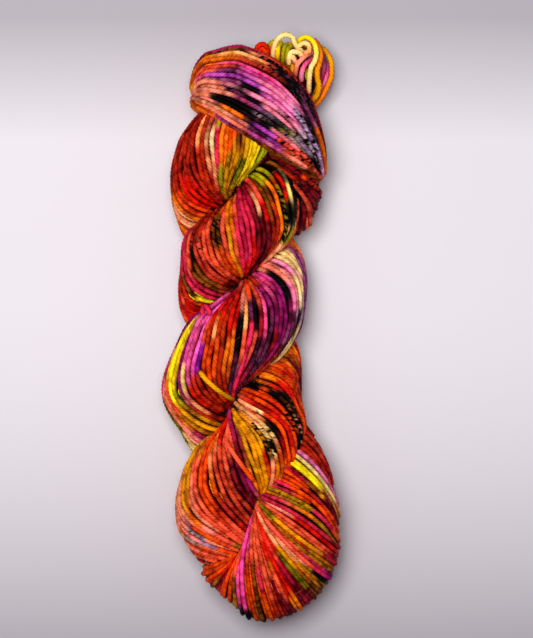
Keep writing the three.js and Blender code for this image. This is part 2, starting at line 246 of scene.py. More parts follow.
def fan_skin(tab, row, way):
    """A fan. way runs from -1, its start on top, through 0, the rim, to 1, its start
    underneath. In plan it follows a parabola from the start through the middle to the rim,
    and its height over the centre falls to nothing at the rim."""
    sx, sy, mx, my, rx, ry, rise = read(tab, "row", "sx sy mx my rx ry rise", row)
    out = 1 - np.abs(way)
    a, b, c = (1 - out) ** 2, 2 * out * (1 - out), out ** 2
    x = a * sx + b * (2 * mx - (sx + rx) / 2) + c * rx
    y = a * sy + b * (2 * my - (sy + ry) / 2) + c * ry
    fall = np.sqrt(np.clip(1 - out ** FAN_FALL, 0, 1))
    dip = 1 - FAN_DIP * (1 - out) ** FAN_DIP_REACH
    return np.stack([x, y, MID - np.sign(way) * rise * fall * dip], -1)


def collar_skin(along, angle):
    """The collar's band. angle goes round its section: 0 at its far side, a quarter turn on
    top, half a turn at its lower edge."""
    x, y, drift, reach, rise = read(COLLAR, "along", "x y drift reach rise", along)
    out, up = np.cos(angle), np.sin(angle)
    tuck = COLLAR_TUCK * np.minimum(1, rise / COLLAR_TUCK_RISE)
    reach = np.where(out > 0, reach, tuck) * out
    drift = np.where(out > 0, drift * out, 0)
    cos, sin = np.cos(COLLAR_LEAN), np.sin(COLLAR_LEAN)
    return np.stack([x + drift * cos + reach * sin, y - drift * sin + reach * cos,
                     MID + rise * np.sign(up) * np.abs(up) ** COLLAR_ROUNDNESS], -1)


# ---------------------------------------------------------------- the courses of the strands
CREASE_SAMPLES = 3000
RIM_SAMPLES = 800
BAND_SAMPLES = 1200
COLLAR_WIDEST = 36.0        # how far along the collar its band is widest
FAN_SPREAD = 0.9            # how evenly a fan's strand is divided from its start to the rim


def crease_height(crease, turn):
    """Where a crease reaches a turn."""
    y = np.linspace(crease["y"][0], crease["y"][-1], CREASE_SAMPLES)
    return np.interp(turn, through(crease, "y", "turn", y), y)


def rope_course(upper, lower, lap, gather, lobe, leans, k, s):
    """Strand k of a ply of the rope, from the upper crease at s = 0 to the lower one at
    s = 1, whose turns count from so many degrees of lap. It keeps its turn round the rope and
    leans back a little on its way down. At both ends it is drawn towards the pinch on top or
    underneath, by the sine of twice its turn, or at a lobe's lower end by the lobe's own rule."""
    turn = 360.0 * k / ROPE_STRANDS
    share, swing = read(gather, "turn", "share swing", turn)
    own, draw, bend = read(lobe, "turn", "own draw bend", turn)
    lean = through(leans, "turn", "lean", turn)
    pull_up = -PULL * share * np.sin(np.radians(2 * (turn - 90)))
    pull_low = -PULL * np.sin(np.radians(2 * (turn - 90 - swing))) * (1 - own) + draw
    top = np.minimum(crease_height(upper, turn + pull_up + lean / 2), ROPE_ENDS[1])
    low = np.maximum(crease_height(lower, turn + lap + pull_low - lean / 2), ROPE_ENDS[0])
    g = 2 * s - 1
    shift = np.where(g < 0, pull_up * np.abs(g) ** UPPER_BEND,
                     pull_low * np.clip(g, 0, 1) ** bend)
    return rope_skin((top + low) / 2 + (low - top) / 2 * g, turn + shift - lean / 2 * g)


def first_ply(k, s):
    """Strand k of the ply that lies below the first crease and above the second."""
    return rope_course(FIRST_CREASE, SECOND_CREASE, 0, FIRST_GATHER, LAST_LOBE, FIRST_LEAN, k, s)


def second_ply(k, s):
    """Strand k of the ply that lies below the second crease and above the first one's next
    turn."""
    return rope_course(SECOND_CREASE, FIRST_CREASE, 360, SECOND_GATHER, TOP_LOBE, SECOND_LEAN,
                       k, s)


def even_rows(tab, strands, k):
    """The row of strand k, so that the strands are evenly spaced along the fan's rim."""
    row = np.linspace(tab["row"][0], tab["row"][-1], RIM_SAMPLES)
    length = run_length(np.stack(read(tab, "row", "rx ry", row), -1))
    return np.interp((k + 0.5) / strands * length[-1], length, row)


def fan_course(tab, strands, k, s):
    """Strand k of a fan, from its start on top round the rim to its start underneath."""
    way = 2 * s - 1
    way = np.sign(way) * (1 - np.sin((1 - np.abs(way)) * np.pi / 2) ** FAN_SPREAD)
    return fan_skin(tab, even_rows(tab, strands, k), way)


def bulb_course(k, s):
    """Strand k of the bulb at the fold."""
    return fan_course(BULB, BULB_STRANDS, k, s)


def shoulder_course(k, s):
    """Strand k of the shoulder below the collar."""
    return fan_course(SHOULDER, SHOULDER_STRANDS, k, s)


def collar_course(k, s):
    """Strand k of the collar, from its left end to its right end. The strands are evenly
    spaced round the band's section at its widest."""
    turn = np.linspace(-np.pi, np.pi, BAND_SAMPLES)
    length = run_length(collar_skin(np.full(BAND_SAMPLES, COLLAR_WIDEST), turn))
    angle = np.interp(k / COLLAR_STRANDS * length[-1], length, turn)
    along = COLLAR["along"]
    reach = (1 - np.cos(np.pi * s)) / 2
    return collar_skin(along[0] + (along[-1] - along[0]) * reach, angle)


# ---------------------------------------------------------------- dyes
# Each splash: its dye, its place x and y, its reach along the strands and across them, and
# how much of it is speckled with black.
SPLASHES = {
    "collar": """
gold -30 112 8 1.5 0; tangerine -30 106 5 2 0; tangerine -26 123 10 2.5 0; umber -18 131 8 1.1 .7
coral -8 136 12 1.4 0; fuchsia -2 134 11 1.4 0; tangerine -13 129 9 2 0; peach -3 130 7 1.5 0
coral 6 131 8 1.4 0; coral -5 127 8 1.5 0; brick 9 127 8 2.2 .9; brick 4 125 10 1.4 .4
orange 12 130 7 1.4 0; crimson 24 117 16 1.8 0; plum 21 116 9 2.2 .9; black 17 121 6 .9 0
coral -17 123 8 2 0; plum -9 123 8 1.5 .5; orchid -12 121 9 1.5 0; pink 7 119 12 3 0
mauve -15 118 6 1.6 0; black -7 117 5 1.5 .2; rose 15 109 14 4.5 0; orchid 3 114 9 2.2 .1
rose 9 106 10 2.2 .2; plum 0 116.5 6 1.1 .8; plum -6 109.5 6 1.1 .6; black -18 109 5 1 .5
black 0 107.5 5 .9 .5; smoke 8 99 6 1 .8; black 21 110 9 1.2 .4; black 25.5 100 7 1.1 .5
plum 12 104 6 1 .7; black 5 98.5 7 1 .3; smoke 19 91 6 1 .7; smoke 24.5 84.5 5 .9 .4
olive 15 94.5 3 .9 .4; plum -2 99.5 8 1 .6; blush -20 115 10 2.4 0; blush -24 110 6 2 0
blush -16 112 6 1.2 0; pink -6 108 6 1.2 0; orchid 3 103 7 1.2 0; plum -8 112 6 1.8 .6
black -14 107 8 1.4 0; black -3 102 9 2.6 0; black 12 96 10 1.1 .2; peach -18 106 7 1.1 0
tangerine -9 103 5 1.1 0; blush -14 101.5 9 1.4 0; plum -5 96 5 1.2 .5; orchid 3 91 7 1.5 .1
orchid 6 94 6 1.3 .3; rose 13 93 8 1.2 .2; coral 18 85 9 1.7 .6; blush 18 81.5 9 1.4 0
smoke 25 95 9 3.4 .65; smoke 28 87 6 3 .8; black 31 79 5 3 0; tangerine 33 88 10 1.1 0
mustard 34 71.5 3 2 0; olive 18 92 4 1.2 .3; mauve 26 103 7 2 .3; rose 21 101 8 2 .1
""",
    "top lobe": """
rust -36 82 20 4 0; rust -31 92 10 3 0; tangerine -35 58 8 2 0; peach -33 54 6 1.5 0
orange -29 58 9 2.6 0; scarlet -25 62 10 3 0; rust -26 75 14 3 0; rust -24 88 9 1.6 .2
peach -25.5 94 6 1.1 0; brick -23 92 8 1.1 0; cream -21 92 6 1.1 0; peach -20 82 8 1.1 0
cerise -17 88 9 1.6 0; rust -21 70 9 2.4 0; lime -14 97 5 1.1 0; tangerine -12 87 7 1.2 0
mustard -13 70 9 1.5 0; olive -14 66 7 1.4 .1; orange -9 90 9 1.4 0; mustard -9 79 5 1.4 0
olive -8 73 5 1.4 .2; umber -6 90 8 1.2 0; gold -3 88 7 1.2 0; olive -4 76 6 1.2 .2
yellow 1 86 8 1.4 0; cream 2.5 90 3 1 0; lime 5.2 82 7 1.4 0; wine 9 82 6 1.6 .6
black 8.5 76.5 5 1.2 .2; lime 1 74 7 1.4 0; mustard -11 66 7 1.2 .1
""",
    "shoulder": """
umber 8 84.5 6 1.2 .3; black 10 80 5 1.4 0; umber 11.5 78 4 1 0; wine 15 77 6 1.2 .7
wine 18 77.5 7 1.2 .5; orange 21 74.7 1.8 1 0; rust 20 70.5 8 1 .4; black 17 71.5 5 1 0
wine 28 66 8 2 .6; rust 25 66 6 1 .4; umber 24 77 4 1.1 .3; coral 22 59 8 1 .2; coral 26 57 8 1 .2
rust 30 69 6 1.2 .6; black 19.5 56 8 1.4 0; black 24 56 6 1.1 0; wine 29 60 6 2 .6
wine 24 48 5 2 .2; black 20.5 65 5 1 0; black 27.5 62 5 .9 0
""",
    "next lobe down": """
cream 17.7 64 12 1.1 0; olive 16 54 8 .9 .8; scarlet 13.7 70 6 1.2 0; tangerine 11 62 10 1.2 .1
rust 12 47 8 1.6 .1; wine 6 44 8 2.4 .2; umber 5 66 8 1.5 .1; scarlet 7 56 6 1.2 0
coral 2 63 8 1.5 0; peach 4.5 52 6 1 .1; crimson -4 65 5 2 0; cerise -5 60 8 2.4 0
cerise -2 48 10 2.4 0; scarlet 1 36 8 2.4 0; coral -9 58 5 1.1 0; tangerine -10 50 7 1.2 0
gold -9 40 8 1.1 0; coral -6.5 40 8 1.1 0; orange -13 57 5 1.2 0; coral -13 45 6 1.1 .1
umber -17.4 45.5 9 1.6 .7; umber -14.5 39 7 1.2 .7; black -12 32 5 1.1 .2; rust -22 38 9 1.2 .3
orange -11 31 6 1.6 .1; tangerine -6 27 5 1.1 0; coral -19 38 10 1.5 0; brick -18 25 10 2.4 .1
coral -23 37 8 1.8 .4; rust -22 50 6 3 .4; rust -28 42 6 2 .5; black -27 33 6 1.4 .1
umber -24 27 6 1.4 .3; coral -31 35 5 1.2 .1; cerise -29 23 10 1.2 0; rust -34 22 7 1.4 0
coral -34 17 5 1.2 0; yellow -27 14 4 1.1 0; umber -29 18 5 1.1 .3; scarlet -31 9 6 2 .1
black -29 6 3 1.1 0; wine -9 21 4 2 .3
""",
    "middle lobes": """
tangerine 24.5 36 10 1.6 0; mauve 26.6 24 8 1.4 0; olive 17 42.5 6 1 0; peach 14 37 7 2.6 0
cream 18 33 6 1.8 0; peach 8 33 6 2.2 0; cream 22.5 18 14 1.3 0; rose 18 27 7 1.5 0
rose 20 16 6 .9 0; mauve 25.5 20 12 1.2 .1; black 23 5 6 1 .1; smoke 24.5 9 4 1 .3
black 15 21.5 9 .9 0; blush 11 30 5 1.5 0; blush 4 28 5 1.6 0; pink 7 22 9 2.2 0; pink 7 10 10 1.4 0
magenta 14 13 12 2.8 0; magenta 16 2 10 2 .1; plum 19 0 8 1.2 .3; plum 0 12 10 2 .4
black 3 7 8 1.4 .1; rust .5 22 4 1.2 0; coral 3 17 5 1 0; orange -2.5 17 9 .9 0; peach -3 5 8 .9 0
coral -3 -5 8 1 .1; blush -5.5 13 10 1.2 0; black -6.5 -7 8 1.1 .1; crimson -8.5 15 5 1.2 0
scarlet -14 9 9 3 0; scarlet -18 5 8 2 0; tangerine -16 4 4 .9 0; peach -18 -1 5 .9 0
orange -20 -6 9 1.2 .1; rust -13 -2 10 2 .2; scarlet -9 -2 8 1.4 0; cerise 1 1 6 1 .1
coral 0 -11 7 1.2 .2; crimson 5 -3 7 1.8 .2; plum 3 -10 8 1.4 .4; plum 9 -5 8 1.8 .3
crimson 12 0 5 1 0; wine 12 -12 7 2 .2; brick 8 -17 8 2 .1; mauve 14 -8 6 1.4 .2
magenta -36 -5 12 1.2 0; pink -42 -22 9 1.4 0; blush -40 -38 7 1.5 0; cream -37.3 -11 5 1 0
yellow -37.5 -18 7 1.1 0; yellow -37 -25 7 1.1 .1; lime -34 -35 4 1.1 .2; mustard -30 -41 6 1.2 0
magenta -34.5 -17 11 1.1 0; magenta -32 -29 6 1.1 0; cream -32.5 -20 8 1.3 0; peach -30 -30 7 1.4 0
candy -27 -3 10 2.4 0; candy -29.5 -13 8 1.4 0; violet -26 -16 8 1.2 0; coral -23 -8 8 .9 0
orange -18 -14 9 2.8 .2; tangerine -12.5 -16 7 1.1 0; rust -15 -21 8 1.8 .2; rust -20 -34 9 3.6 .1
scarlet -25 -33 6 1.4 0; plum -7.5 -16 8 1.2 .2; cerise -3 -18 7 1.4 .1; plum -4 -26 6 2 .1
blush -36 -44 7 1.1 0; fuchsia -24 -51 7 1.2 0; mustard -24 -47.5 8 1.4 0; coral -36 -38 8 1 0
tangerine -30 -46 7 .9 0; gold -29 -42 8 .9 0; umber -42 -36 8 1.2 .1; olive -35 -50 9 2.4 .3
cream -28 -57 4 .9 0; mustard -24 -59 5 1.4 0
""",
    "lowest lobes": """
tangerine 16 -16 7 1.6 0; orange 20 -21 9 2 .1; scarlet 16.5 -19 4 1 0; wine 23.5 -18 8 1 .6
tangerine 9 -24 6 1.2 .3; black 6 -27 4 1.2 .3; orange 11 -30 7 1.2 .5; scarlet 14.5 -27 6 1.1 0
orange 14.5 -35.5 9 1.1 0; black 16 -32 4 1 .2; brick 23 -30 8 1.4 .4; orange 24 -38 9 1.2 .2
scarlet 8 -35 6 1 .1; scarlet 11.5 -41 7 1 0; scarlet 16 -54 7 1.1 0; orange 5 -35 6 1 0
orange 9.3 -43.6 7 1 0; orange 12.5 -56 7 1 .1; black 6.8 -38 4 .8 .3; black 11 -48 4 .8 .3
black 15 -57 5 .9 .3; black 13.5 -50 4 .8 .2; orange 18 -46 8 1 .5; umber 20 -42 6 1.5 .95
black 22.5 -51 6 1.2 .3; black 18 -38 4 .9 .3; orange 20.5 -46 6 .8 .9; peach 23 -45 5 1 .95
peach 2 -38 6 .7 .1; peach 4.5 -43 6 .7 0; peach 6.8 -49 7 .8 0; peach 11 -61 8 .9 0
peach 11.3 -70 6 .9 0; cream 5.4 -41 4 .9 .9; cream 8 -50 5 .9 .9; cream 10.5 -56 4 .9 .9
mustard 5.5 -54 5 .9 .8; black 8 -59 3 .9 0; orange 8.5 -66 7 1 0; rust 14 -64 8 1.2 .1
orange 17 -64 8 1.6 0; scarlet 8 -61 4 .8 0; tangerine 14 -70 8 1.8 0; gold -3 -48 14 1.6 0
gold 1 -50 14 2 0; gold 3 -62 14 2.4 0; tangerine 3 -76 7 2.4 0; fuchsia -9.5 -46 9 1.3 0
wine -6 -57 10 1.4 0; black -8 -37 3 2 0; scarlet -13.5 -48 6 1.2 0; coral -14 -58 12 2.2 0
peach -19 -62 10 1.6 0; orange -22 -62 12 1.8 0; coral -27 -68 8 2 0; tangerine -18 -54 6 1.8 0
gold -32.5 -76 14 1.1 0; tangerine -30 -88 8 1.2 0; orange -25 -96 9 1.4 0; orange -15 -104 9 1.4 0
blush -35.5 -84 10 2 0; blush -33 -94 7 2 0; mauve -31 -93 4 1.2 .1; smoke -28.5 -96 4 1.1 .3
smoke -26 -99 5 1.1 .4; smoke -23 -102 4 1.1 .3; blush -29 -104 6 1.6 0; coral -24 -88 12 1.8 0
blush -27.5 -83 10 1.1 0; blush -21.5 -93 9 1.1 0; peach -20 -79 9 1 0; coral -16 -98 12 3 0
umber -25.5 -82 8 .9 .1; orange -20 -78 12 1.7 0; tangerine -18 -70 8 1.5 0; rust -14 -88 8 2 0
brick -9 -90 8 2.6 0; crimson -8 -88 7 2 0; coral -7 -96 7 1.8 0; scarlet -4 -95 4 1.4 0
brick -12 -74 10 2.2 0; coral -14 -76 8 1.2 0; wine -6 -76 10 1.8 0; magenta -2.5 -74 8 1.2 0
olive -18 -109 5 1.1 .1; mustard -14 -109.5 5 1.1 0; blush -14 -107 7 1.1 0
""",
    "bulb": """
orange -18 -115 8 2.6 0; mustard -16 -119 5 1 0; scarlet -14 -118 5 1.2 0; crimson -16 -123 5 1.4 0
orange -14 -127 5 2 0; rust 28 -57 9 2.6 .1; orange 27 -52 6 1.4 0; brick 36 -66 8 2 0
yellow 26 -67.5 9 1.1 0; cream 24 -62.5 4 .9 0; rose 33 -69 6 1 0; cream 38 -77 6 1.2 0
peach 41 -84 6 1.2 0; tangerine 42 -90 5 1.2 0; scarlet 38 -70 10 1.7 0; crimson 21 -67 6 1.1 0
wine 33 -78 8 1.8 .2; crimson 35 -83 6 1 0; umber 25 -73 6 1.1 .2; gold 29.5 -76.5 2.5 1 0
orange 23 -75 10 1.2 0; orange 34 -86 12 1.5 0; cerise 18 -74.5 5 1 0; cerise 29 -85 7 1.1 0
mustard 18 -78 8 1.4 .45; olive 24 -84 7 1.2 .4; tangerine 28 -87.5 7 1.2 .25
mustard 35 -94 8 1.4 .2; cerise 18 -86 9 1.4 0; cerise 31 -96 8 1.2 0; crimson 38 -101 5 1.2 0
blush 11 -84 5 1.5 0; coral 20 -92 9 1.4 0; coral 32 -104 10 1.3 0; scarlet 26 -95 9 1.2 .1
olive 10 -90 4 1 0; gold 19 -97 9 1.5 0; mustard 28 -105 8 1.8 .2; peach 12 -101 7 1.3 0
gold 15.5 -108 7 1.1 0; olive 21 -117 5 1.1 .4; coral 18 -103 9 1.8 0; peach 21 -108 7 1.1 0
tangerine 24 -113 8 1.5 0; mustard 27 -116 7 1.8 .1; umber 30 -121 6 1.8 .3; black 33 -118 4 1.3 0
rust 26 -104 8 1.1 .1; crimson 39 -109 5 1.6 0; cerise 34 -114 6 1.3 0; magenta 38 -117 5 1.2 0
scarlet 6 -98 9 1.6 0; coral 8.5 -104 8 1.2 0; coral 1.5 -104 10 1.4 0; brick 4 -96 6 1 0
pink -3.5 -113 11 1.6 0; coral -6.5 -113 10 1.1 0; cerise 2.5 -116 8 1 0; coral 4.5 -112 10 1.2 0
scarlet 10 -112 9 1.2 0; mustard 11 -113 5 .9 .3; coral 12 -120 9 1.4 0; scarlet 15 -117 8 1.4 0
crimson 20 -122 8 1.4 0; wine 24 -127 7 1.8 0; crimson 28 -131 5 1.4 0; tangerine 22 -131 7 1.2 0
wine 17 -134 6 1.8 .1; orange 8 -132 8 2.6 .1; umber 3 -134 8 2.2 .3; black -1 -138 5 1.3 0
mustard -8 -131 7 1.2 .1; umber -9 -121 8 1.1 .5; rust 12 -137 6 2.2 .1; orange 0 -125 8 1.8 .1
tangerine -8 -106 8 1.1 0
""",
}

# ---------------------------------------------------------------- the tuft and the strays
TUFT = (                    # dyes, lowest and highest z, and the plan points of each loop
    ("cream cream", 22, 31, (10.3, 130), (10.8, 134.7), (12.9, 138.9), (16.3, 140.7), (19.4, 139.7),
     (20.9, 136.5), (23.3, 133.9), (26, 131.6)),
    ("yellow cream", 20, 32, (21.6, 135), (22.6, 138.2), (25.9, 139.9), (28.5, 138.6), (30.5, 135.5),
     (31.1, 131.5), (30.3, 128), (28.5, 125), (27.8, 120), (27.5, 113)),
    ("cream peach", 27, 30, (22.3, 135), (25.1, 136.8), (27.4, 135.8), (27.8, 133.2), (25, 132)),
    ("blush blush", 22, 30, (29.5, 133.2), (26.7, 131.3), (23.8, 128.7), (21.8, 126), (21, 121)),
    ("pink rose", 20, 28.5, (30, 130.2), (26.7, 127.7), (24.7, 124.6), (24, 121), (24.2, 117.5)),
    ("tangerine gold", 19, 28.5, (27, 138), (30, 138.6), (32.3, 135), (33.2, 130.8), (32.6, 127),
     (31.5, 123.5), (31.7, 120), (32.5, 116.5), (31.8, 113), (28.5, 109)),
    ("gold tangerine", 14, 22, (31.5, 137), (35.5, 134.2), (37.6, 130.6), (38.6, 127), (38.6, 122.5),
     (37.4, 118.6), (35.3, 114.2), (32.8, 110), (29.5, 107)),
    ("mauve fuchsia", 15, 20, (34, 133), (34.6, 130), (34.8, 126), (34.2, 122.5), (32.5, 117)),
    ("pink rose", 12, 17, (36.2, 128), (36.3, 124), (35.3, 120), (32.5, 115.5)),
    ("tangerine orange", 9, 13, (37.5, 122), (36, 117.5), (33, 113), (29, 109)),
    ("lime mustard", 16, 26, (8.4, 132), (9.2, 136.5), (10.4, 137.6), (11.2, 134.5), (12, 129)),
    ("yellow gold", 17, 27, (14.4, 138.4), (12.9, 135.4), (12.5, 131), (13, 127)),
    ("lime olive", 15, 24, (16.8, 137.6), (15.4, 134), (15, 130), (15.4, 125)),
    ("lime mustard", 17, 26.5, (19.4, 136.6), (17.4, 133.4), (17.2, 129.5), (18.2, 124)),
    ("cream cream", 27, 31.5, (18, 126.5), (18.1, 130), (19.4, 132.4), (22, 132.4), (24.6, 130.4)),
    ("cream blush", 24, 31, (18.9, 132.2), (20, 129.6), (21.8, 126.6)),
    ("mustard gold", 18, 25, (21, 134), (19.8, 129), (19.8, 124), (20.6, 119)),
    ("lime olive", 17, 23, (27, 128), (26.6, 124), (26.3, 120), (26.5, 115)),
    ("scarlet rust", 22, 26.5, (1.6, 132), (3.1, 135.6), (5.2, 136.6), (7.4, 135), (8, 131)),
    ("scarlet orange", 21, 25.5, (3.6, 131), (4.4, 134), (5.6, 134.6), (6.4, 133), (6.4, 130)),
    ("orange rust", 18, 24, (5.4, 133), (7.4, 136), (9, 134.6), (9.6, 130)),
    ("gold yellow", 10, 16, (12, 131), (18, 137.5), (28, 136.5), (33.5, 127), (29.5, 110)),
    ("orange cerise", 7, 11, (14, 129), (22, 135.5), (32, 134), (36.5, 124), (30, 109)),
    ("olive mustard", 12, 20, (22, 136), (27, 133), (30, 124), (29, 112)),
    ("tangerine yellow", 5, 8, (12, 127), (20, 132.5), (31, 130), (34.5, 120), (28, 108)),
    ("cerise pink", 9, 15, (19, 135), (25, 128), (24, 118), (24, 112)),
    ("yellow lime", 5, 9, (14, 132), (18, 127), (21, 120), (22, 114)),
    ("gold orange", 3, 5.5, (15, 125), (22, 128.5), (30, 125), (32, 117), (27, 107)),
    ("rose blush", 11, 18, (35.5, 131), (32, 126), (29.5, 119), (28, 112)),
    ("umber olive", 10, 19, (13, 136), (17, 134), (19, 129), (18, 122)),
)
TUFT_CORE = dict(x=23.0, y=119.0, z=16.0, wide=8.0, long=12.5, tall=8.5, lean=np.radians(-12))
STRAYS = (                  # strands that lie across the rope: dyes, plan points from end to end
    ("gold mustard", (-24.2, -20.5), (-20.5, -25.5), (-14.5, -30.8), (-8.5, -33.6)),
    ("coral orange", (-11.5, -54), (-7.5, -60.5), (-3.2, -66), (1.2, -72)),
    ("cerise cerise", (-19.5, 6.5), (-20.5, 11.5), (-24, 12.5), (-23, 6.0)),
)
LOOP_SAMPLES = 80           # points along a loop and along a stray, before they are spaced out
STRAY_SAMPLES = 50
STRAY_TURNS = (5, 175, 300)     # the turns of the rope over which a stray may lie
STRAY_LIFT = 0.9            # how far a stray lies over the skin
STRAY_DIVE = 5.0            # how far its ends go under, over this share of its length
STRAY_ENDS = 0.12


def bezier(points, count):
    """The cubic through four control points, at even steps of its parameter."""
    t = np.linspace(0, 1, count)[:, None]
    a, b, c, d = (np.asarray(p, float) for p in points)
    return (1 - t) ** 3 * a + 3 * t * (1 - t) ** 2 * b + 3 * t * t * (1 - t) * c + t ** 3 * d


def tuft_loops():
    """Each loop of the tuft: a smooth line in plan that rises and falls by half a sine."""
    even = np.linspace(0, 1, LOOP_SAMPLES)
    for _, low, high, *corners in TUFT:
        x, y = np.array(corners, float).T
        place = run_length(np.array(corners, float))
        plan = read(dict(place=place / place[-1], x=x, y=y), "place", "x y", even)
        yield np.stack([*plan, low + (high - low) * np.sin(np.pi * even)], -1)


def stray_lines():
    """Each stray: a cubic in plan, laid on the rope's skin, with both ends tucked in."""
    even = np.linspace(0, 1, STRAY_SAMPLES)
    dive = STRAY_DIVE * np.clip(1 - np.minimum(even, 1 - even) / STRAY_ENDS, 0, 1) ** 2
    for _, *corners in STRAYS:
        plan = bezier(corners, STRAY_SAMPLES)
        across = rope_skin(plan[:, 1:], np.linspace(*STRAY_TURNS)[None, :])
        nearest = np.argmin(np.abs(across[..., 0] - plan[:, :1]), axis=1)
        z = across[np.arange(STRAY_SAMPLES), nearest, 2]
        yield np.column_stack([plan, z + STRAY_LIFT - dive])


# ---------------------------------------------------------------- strands from courses
NORMAL_PITCH = 2.6          # spacing at which strands lie side by side
COURSE_SAMPLES = 130
ASIDE = 0.05                # how far aside, in strands, a course is read for its spacing
FEWEST_SAMPLES = 8          # in a stretch of strand that is made
FEWEST_STEPS = 6            # between the rings of a strand's mesh
RING_STEP = 0.95            # distance between them
SIDES = 8                   # points in a ring: four plies and the four valleys between them
SIDEWAYS_WANDER = 0.18      # in strands
DEPTH_WANDER = 0.22         # in mm, and how far whole strands lie above or below the skin
DEPTH_SPREAD = 0.34
WANDER_SPAN = 60.0          # the length that a strand counts as while it wanders
WANDER_WAVES = (23.0, 41.0, 67.0)


def wander(rng, rows, place):
    """A slow random weave along each strand: three sines of random phase, about -1 to 1."""
    total = np.zeros(np.broadcast_shapes((rows, 1), place.shape))
    for wave in WANDER_WAVES:
        total = total + np.sin(2 * np.pi * (place / wave + rng.random((rows, 1))))
    return total / 2


def settle(course, numbers, rng, between=False, tuck=False):
    """The centre lines of the numbered strands of a course. Each lies its own radius under
    the skin. Where strands bunch closer than their width, three of each four sink under the
    fourth, and a strand laid between two others comes up only where they part."""
    k = np.asarray(numbers, float)[:, None]
    s = np.linspace(0, 1, COURSE_SAMPLES)[None, :]
    rows = len(k)
    shift = SIDEWAYS_WANDER * wander(rng, rows, s * WANDER_SPAN)
    depth = DEPTH_WANDER * wander(rng, rows, s * WANDER_SPAN)
    depth = depth + rng.normal(0, DEPTH_SPREAD, (rows, 1))
    here = course(k + shift, s)
    tangent = unit(np.gradient(here, axis=1))
    across = (course(k + shift + ASIDE, s) - here) / ASIDE
    across -= (across * tangent).sum(-1, keepdims=True) * tangent
    pitch = np.linalg.norm(across, axis=-1)
    out = unit(np.cross(tangent, across))
    out *= np.sign((out * (here - here.mean((0, 1)))).sum())
    arc = run_length(here)
    from_end = np.minimum(arc, arc[:, -1:] - arc)
    radius = sizes().strand_radius / MM
    level = CROWD_LEVELS[np.round(k).astype(int) % len(CROWD_LEVELS)]
    rise = ease(pitch, *BETWEEN_PITCH) if between else np.ones_like(pitch)
    sink = radius + depth + level * CROWD_DEPTH * np.clip(1 - pitch / CROWD_PITCH, 0, 1)
    sink += tuck * TUCK_DEPTH * np.clip(1 - from_end / TUCK_LENGTH, 0, 1) ** 2
    sink += BETWEEN_DEPTH * (1 - rise)
    lines = here - out * sink[..., None]
    if not tuck:
        lines[:, 0] -= tangent[:, 1] * EXTENSION
        lines[:, -1] += tangent[:, -2] * EXTENSION
    lines[..., 2] = np.maximum(lines[..., 2], radius * FLOOR_RADII)
    found = []
    for row in range(rows):
        shown = np.flatnonzero(rise[row] > BETWEEN_SHOWN)
        for run in np.split(shown, np.flatnonzero(np.diff(shown) > 1) + 1):
            if len(run) >= FEWEST_SAMPLES:
                found.append(dict(line=lines[row, run], out=out[row, run], k=float(k[row, 0]),
                                  place=arc[row, run], whole=float(arc[row, -1])))
    return found


def resample(strand):
    """The strand with its line, outward directions and places at the even steps of its rings."""
    arc = run_length(strand["line"])
    at = np.linspace(0, arc[-1], max(FEWEST_STEPS, int(round(arc[-1] / RING_STEP))) + 1)
    line, out = (np.stack([np.interp(at, arc, axis) for axis in strand[key].T], -1)
                 for key in ("line", "out"))
    place = np.interp(at, arc, strand["place"])
    return {**strand, "line": line, "out": out, "place": place, "arc": at}


def turns_between(low, high):
    """The numbers of the rope's strands from one turn to another."""
    turns = ROPE_STRANDS / 360
    return np.arange(int(np.ceil(low * turns)), int(high * turns))


def fold_rope(k):
    """The strand on top of the rope whose dye a strand underneath takes."""
    turn = 360.0 * k / ROPE_STRANDS
    lap = np.floor((turn + 90) / 360)
    rel = turn - 360 * lap - 90
    rel = np.where(np.abs(rel) > 90, np.sign(rel) * (180 - np.abs(rel)), rel)
    return (360 * lap + 90 + rel) / 360 * ROPE_STRANDS


def fold_collar(k):
    """The strand on top of the collar whose dye a strand underneath takes."""
    return np.where(k < COLLAR_STRANDS / 2, COLLAR_STRANDS - k, k)


def unfolded(k):
    """A strand that takes its own dye."""
    return k


def onward(place, length):
    """Dyes that run on from one end of a strand to the other."""
    return place


def mirrored(place, length):
    """Dyes that are the same underneath as on top."""
    return np.minimum(place, length - place)


GROUPS = (                  # name, course, numbers, whose dye a strand takes and from what place
    ("first_ply", first_ply, turns_between(-150, 640), fold_rope, onward),
    ("second_ply", second_ply, turns_between(-345, 395), fold_rope, onward),
    ("bulb", bulb_course, np.arange(BULB_STRANDS), unfolded, mirrored),
    ("shoulder", shoulder_course, np.arange(SHOULDER_STRANDS), unfolded, mirrored),
    ("collar", collar_course, np.arange(COLLAR_STRANDS), fold_collar, onward),
)
_laid = {}


def laid():
    """All settled strands by group, with each ring's dye and speckle. They are made once for
    the strand radius and the dyes as they are set."""
    settings = (sizes().strand_radius, *(dye(name) for name in YarnDyes.__annotations__))
    if settings not in _laid:
        rng = np.random.default_rng(SEED)
        groups = {}
        for name, course, numbers, fold, along in GROUPS:
            tuck = name == "collar"
            strands = (settle(course, numbers, rng, tuck=tuck)
                       + settle(course, numbers + 0.5, rng, between=True, tuck=tuck))
            groups[name] = [resample(strand) for strand in strands]
            for strand in groups[name]:
                strand["dye_k"] = fold(np.full(len(strand["place"]), strand["k"]))
                strand["dye_place"] = along(strand["place"], strand["whole"])
        colour_strands(groups, rng)
        _laid.clear()
        _laid[settings] = groups
    return _laid[settings]


def splashes():
    """The dye list as rows of a name and numbers."""
    for zone in SPLASHES.values():
        for entry in zone.strip().replace("\n", ";").split(";"):
            name, *numbers = entry.split()
            yield name, [float(n) for n in numbers]


